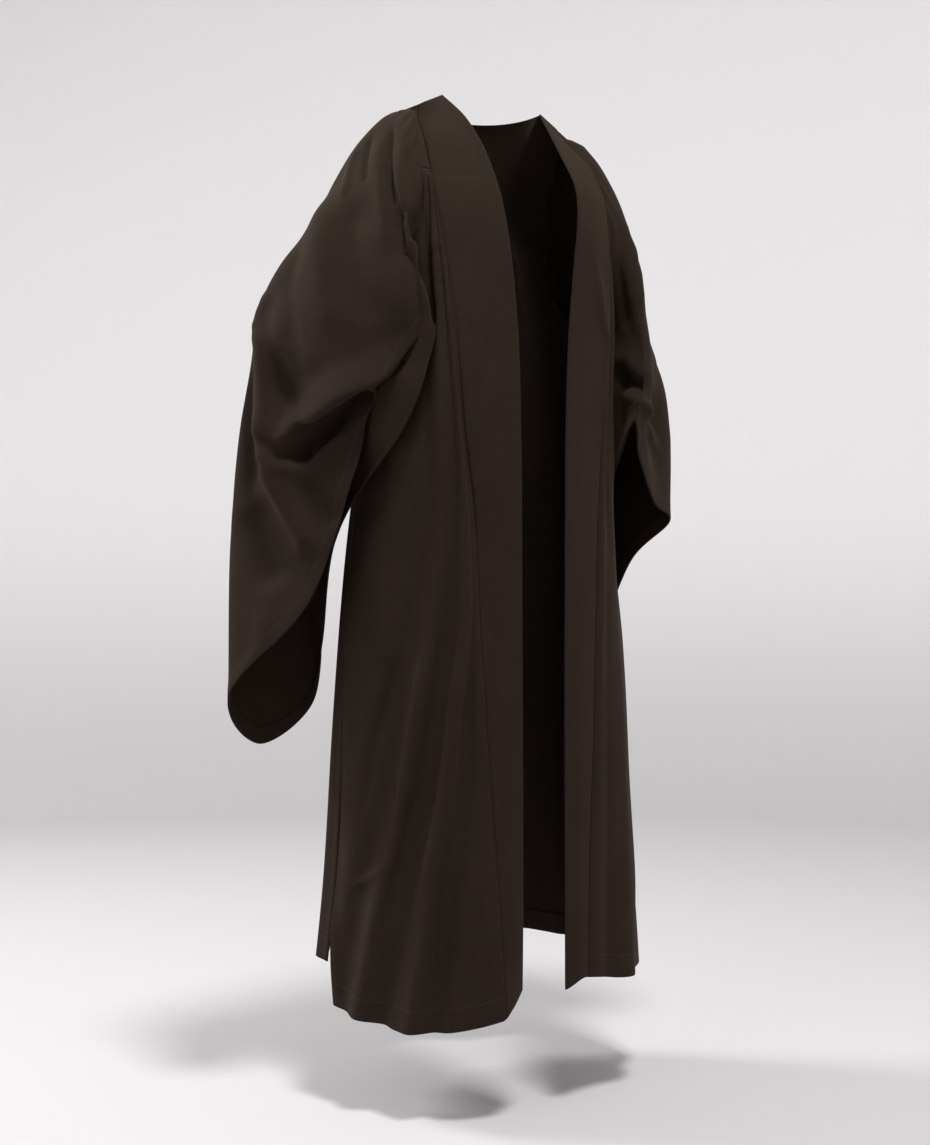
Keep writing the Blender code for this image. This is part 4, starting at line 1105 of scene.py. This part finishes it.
def yoke_top(hand, share):
    """Top edge of the yoke: from the centre of the neck (share 0), round it to the high shoulder
    point (share 1), then out along the ridge to the armhole (share 2)."""
    turn = min(share, 1.0) * math.pi / 2
    if share <= 1:
        return np.array((hand * NECK_HALF_WIDTH * math.sin(turn),
                         SHOULDER_Y + (BACK_NECK_Y - SHOULDER_Y) * math.cos(turn),
                         BACK_NECK_LEVEL * math.cos(turn)))
    shoulder = np.array((hand * NECK_HALF_WIDTH, SHOULDER_Y, 0.0))
    end = armhole(0.0) * (hand, 1, 1)
    return shoulder + (end - shoulder) * (share - 1)


def yoke_surface():
    """Back yoke from the neck and shoulder ridge to its back seam, armhole to armhole."""
    neck = np.linspace(0, 1, YOKE_GRID[1] // 2)
    ridge = np.linspace(1, 2, YOKE_GRID[1] // 2)[1:]
    half = list(neck) + list(ridge)
    down = np.linspace(0, 1, YOKE_GRID[0])
    reach = math.acos((YOKE_BACK_LEVEL - ARMHOLE_MIDDLE) / (ARMHOLE_TOP - ARMHOLE_MIDDLE))
    columns = []
    for place in [-share for share in reversed(half[1:])] + half:
        hand, share = (RIGHT if place < 0 else LEFT), abs(place)
        if share == 2:
            columns.append(armhole(reach * down) * (hand, 1, 1))
        else:
            low = back_point(hand, np.float64(YOKE_BACK_LEVEL), 1 - share / 2)
            columns.append(cubic(yoke_top(hand, share), np.array(YOKE_LEAVE), low, np.array(YOKE_ARRIVE),
                                 down[:, None]))
    return np.stack(columns, axis=1)


def tab_surface(hand):
    """Front tab of the yoke, from the ridge down to its short seam with the front panel."""
    across, down = np.meshgrid(np.linspace(0, 1, TAB_GRID[1]), np.linspace(0, 1, TAB_GRID[0]))
    start = np.array([yoke_top(hand, TAB_START + (2 - TAB_START) * share) for share in across[0]])
    level = start[:, 2] + (YOKE_FRONT_LEVEL - start[:, 2]) * down
    seam, side = front_point(hand, level, 1), side_point(hand, level, -1)
    rows = seam + (side - seam) * across[..., None]
    return rows + (start - rows[0]) * (1 - smooth(down / TAB_TURN))[..., None]


def main():
    """Make the pieces, dress them, and set the studio round them."""
    thread = sewing_thread()
    # The palest colour serves both the cloudy fading and the painted highlight on the shoulders
    cloth = worsted("faded black worsted", "#150F0B", "#261C15", "#31271F")
    lines = []
    for hand, side in ((RIGHT, "right"), (LEFT, "left")):
        rows = band_surface(hand)
        rows = creased(rows, outward(rows, hand), CREASES["band_" + side])
        rows = sunk(rows, hand, ("end",))
        piece = cloth_piece("band_" + side + "_cloth", rows, hand, BAND_CLOTH)
        put_on(piece, cloth, "band_" + side)
        lines += [inset(rows, hand, "start", EDGE_STITCH_IN), inset(rows, hand, "end", EDGE_STITCH_IN),
                  inset(rows, hand, "hem", HEM_DEPTH)]
        rows = front_surface(hand)
        rows = creased(rows, outward(rows, hand), CREASES["front_" + side])
        flat = from_edges(rows)
        shift = wavering(flat["start"], flat["top"], FRONT_WAVE, FRONT_SEED + hand)
        rows = rows + outward(rows, hand) * shift[..., None]
        rows = sunk(rows, hand, ("start", "end", "top"))
        lines += [inset(rows, hand, "hem", HEM_DEPTH), inset(rows, hand, "top", EDGE_STITCH_IN)]
        rows = hemmed(rows, hand, HEM_DEPTH)
        piece = cloth_piece("front_" + side + "_cloth", rows, hand, CLOTH)
        put_on(piece, cloth, "front_" + side)
        rows = sunk(tab_surface(hand), hand, ("start", "end", "hem"))
        lines.append(inset(rows, hand, "hem", EDGE_STITCH_IN))
        piece = cloth_piece("yoke_tab_" + side + "_cloth", rows, hand, CLOTH)
        put_on(piece, cloth, "yoke")
        rows = sleeve_surface(hand)
        rows = creased(rows, outward(rows, hand, True), CREASES["sleeve_" + side])
        rows = sunk(rows, hand, ("top",), closed=True)
        lines.append(inset(rows, hand, "hem", SLEEVE_HEM_DEPTH, closed=True))
        rows = hemmed(rows, hand, SLEEVE_HEM_DEPTH, closed=True)
        piece = cloth_piece("sleeve_" + side + "_cloth", rows, hand, CLOTH, closed=True)
        put_on(piece, cloth, "sleeve_" + side)
    rows = back_surface()
    rows = creased(rows, outward(rows, -1), CREASES["back"])
    flat = from_edges(rows)
    shift = wavering(flat["start"], flat["top"], BACK_WAVE, BACK_SEED)
    rows = rows + outward(rows, -1) * shift[..., None]
    rows = sunk(rows, -1, ("start", "end", "top"))
    lines += [inset(rows, -1, "hem", HEM_DEPTH), inset(rows, -1, "top", EDGE_STITCH_IN)]
    rows = hemmed(rows, -1, HEM_DEPTH)
    put_on(cloth_piece("back_cloth", rows, -1, CLOTH), cloth, "back")
    rows = sunk(yoke_surface(), -1, ("start", "end", "hem"))
    lines += [inset(rows, -1, "hem", EDGE_STITCH_IN), inset(rows, -1, "top", EDGE_STITCH_IN)]
    put_on(cloth_piece("yoke_cloth", rows, -1, CLOTH), cloth, "yoke")
    stitches = stitched("stitching", lines, CLOTH, thread)
    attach(stitches, "root")
    set_studio()


def set_studio():
    """Seamless cove, soft lights and the photograph's camera."""
    rise = [(0.0, FLOOR_LEVEL), (COVE_FLOOR, FLOOR_LEVEL)]
    rise += [(COVE_FLOOR + COVE_BEND * math.sin(turn), FLOOR_LEVEL + COVE_BEND * (1 - math.cos(turn)))
             for turn in np.linspace(0, math.pi / 2, 16)[1:]]
    rise.append((COVE_FLOOR + COVE_BEND, COVE_TOP))
    turns = [2 * math.pi * k / COVE_SIDES for k in range(COVE_SIDES)]
    verts = [(0.0, 0.0, FLOOR_LEVEL)]
    for radius, level in rise[1:]:
        verts += [(radius * math.cos(turn), radius * math.sin(turn), level) for turn in turns]
    faces = [(0, 1 + k, 1 + (k + 1) % COVE_SIDES) for k in range(COVE_SIDES)]
    for ring in range(len(rise) - 2):
        low, high = 1 + ring * COVE_SIDES, 1 + (ring + 1) * COVE_SIDES
        faces += [(low + k, high + k, high + (k + 1) % COVE_SIDES, low + (k + 1) % COVE_SIDES)
                  for k in range(COVE_SIDES)]
    mesh = bpy.data.meshes.new("studio_cove")
    mesh.from_pydata(verts, [], faces)
    mesh.shade_smooth()
    mesh.materials.append(studio_paint())
    cove = bpy.data.objects.new("studio_cove", mesh)
    bpy.context.scene.collection.objects.link(cove)

    world = bpy.data.worlds.new("soft daylight")
    world.use_nodes = True
    world.node_tree.nodes["Background"].inputs["Color"].default_value = linear("#FFFFFF")
    world.node_tree.nodes["Background"].inputs["Strength"].default_value = WORLD_LIGHT
    bpy.context.scene.world = world
    for name, place, size, power in LAMPS:
        lamp = bpy.data.lights.new(name, "AREA")
        lamp.shape = "DISK"
        lamp.size = size
        lamp.energy = power
        holder = bpy.data.objects.new(name, lamp)
        holder.location = place
        aim = np.array(LAMP_AIM) - np.array(place)
        holder.rotation_euler = (math.acos(-aim[2] / np.linalg.norm(aim)), 0.0, math.atan2(-aim[0], aim[1]))
        bpy.context.scene.collection.objects.link(holder)

    lens = bpy.data.cameras.new("photograph")
    lens.sensor_fit = "VERTICAL"
    lens.sensor_height = SENSOR
    lens.lens = PIXELS_PER_TANGENT / PHOTO_HEIGHT * SENSOR
    lens.shift_x = FRAME_SHIFT[0] / PHOTO_HEIGHT
    lens.shift_y = FRAME_SHIFT[1] / PHOTO_HEIGHT
    camera = bpy.data.objects.new("photograph", lens)
    camera.location = camera_place()
    camera.rotation_euler = (math.radians(90), 0.0, CAMERA_AZIMUTH)
    bpy.context.scene.collection.objects.link(camera)
    bpy.context.scene.camera = camera
    bpy.context.scene.view_settings.view_transform = "Standard"


main()
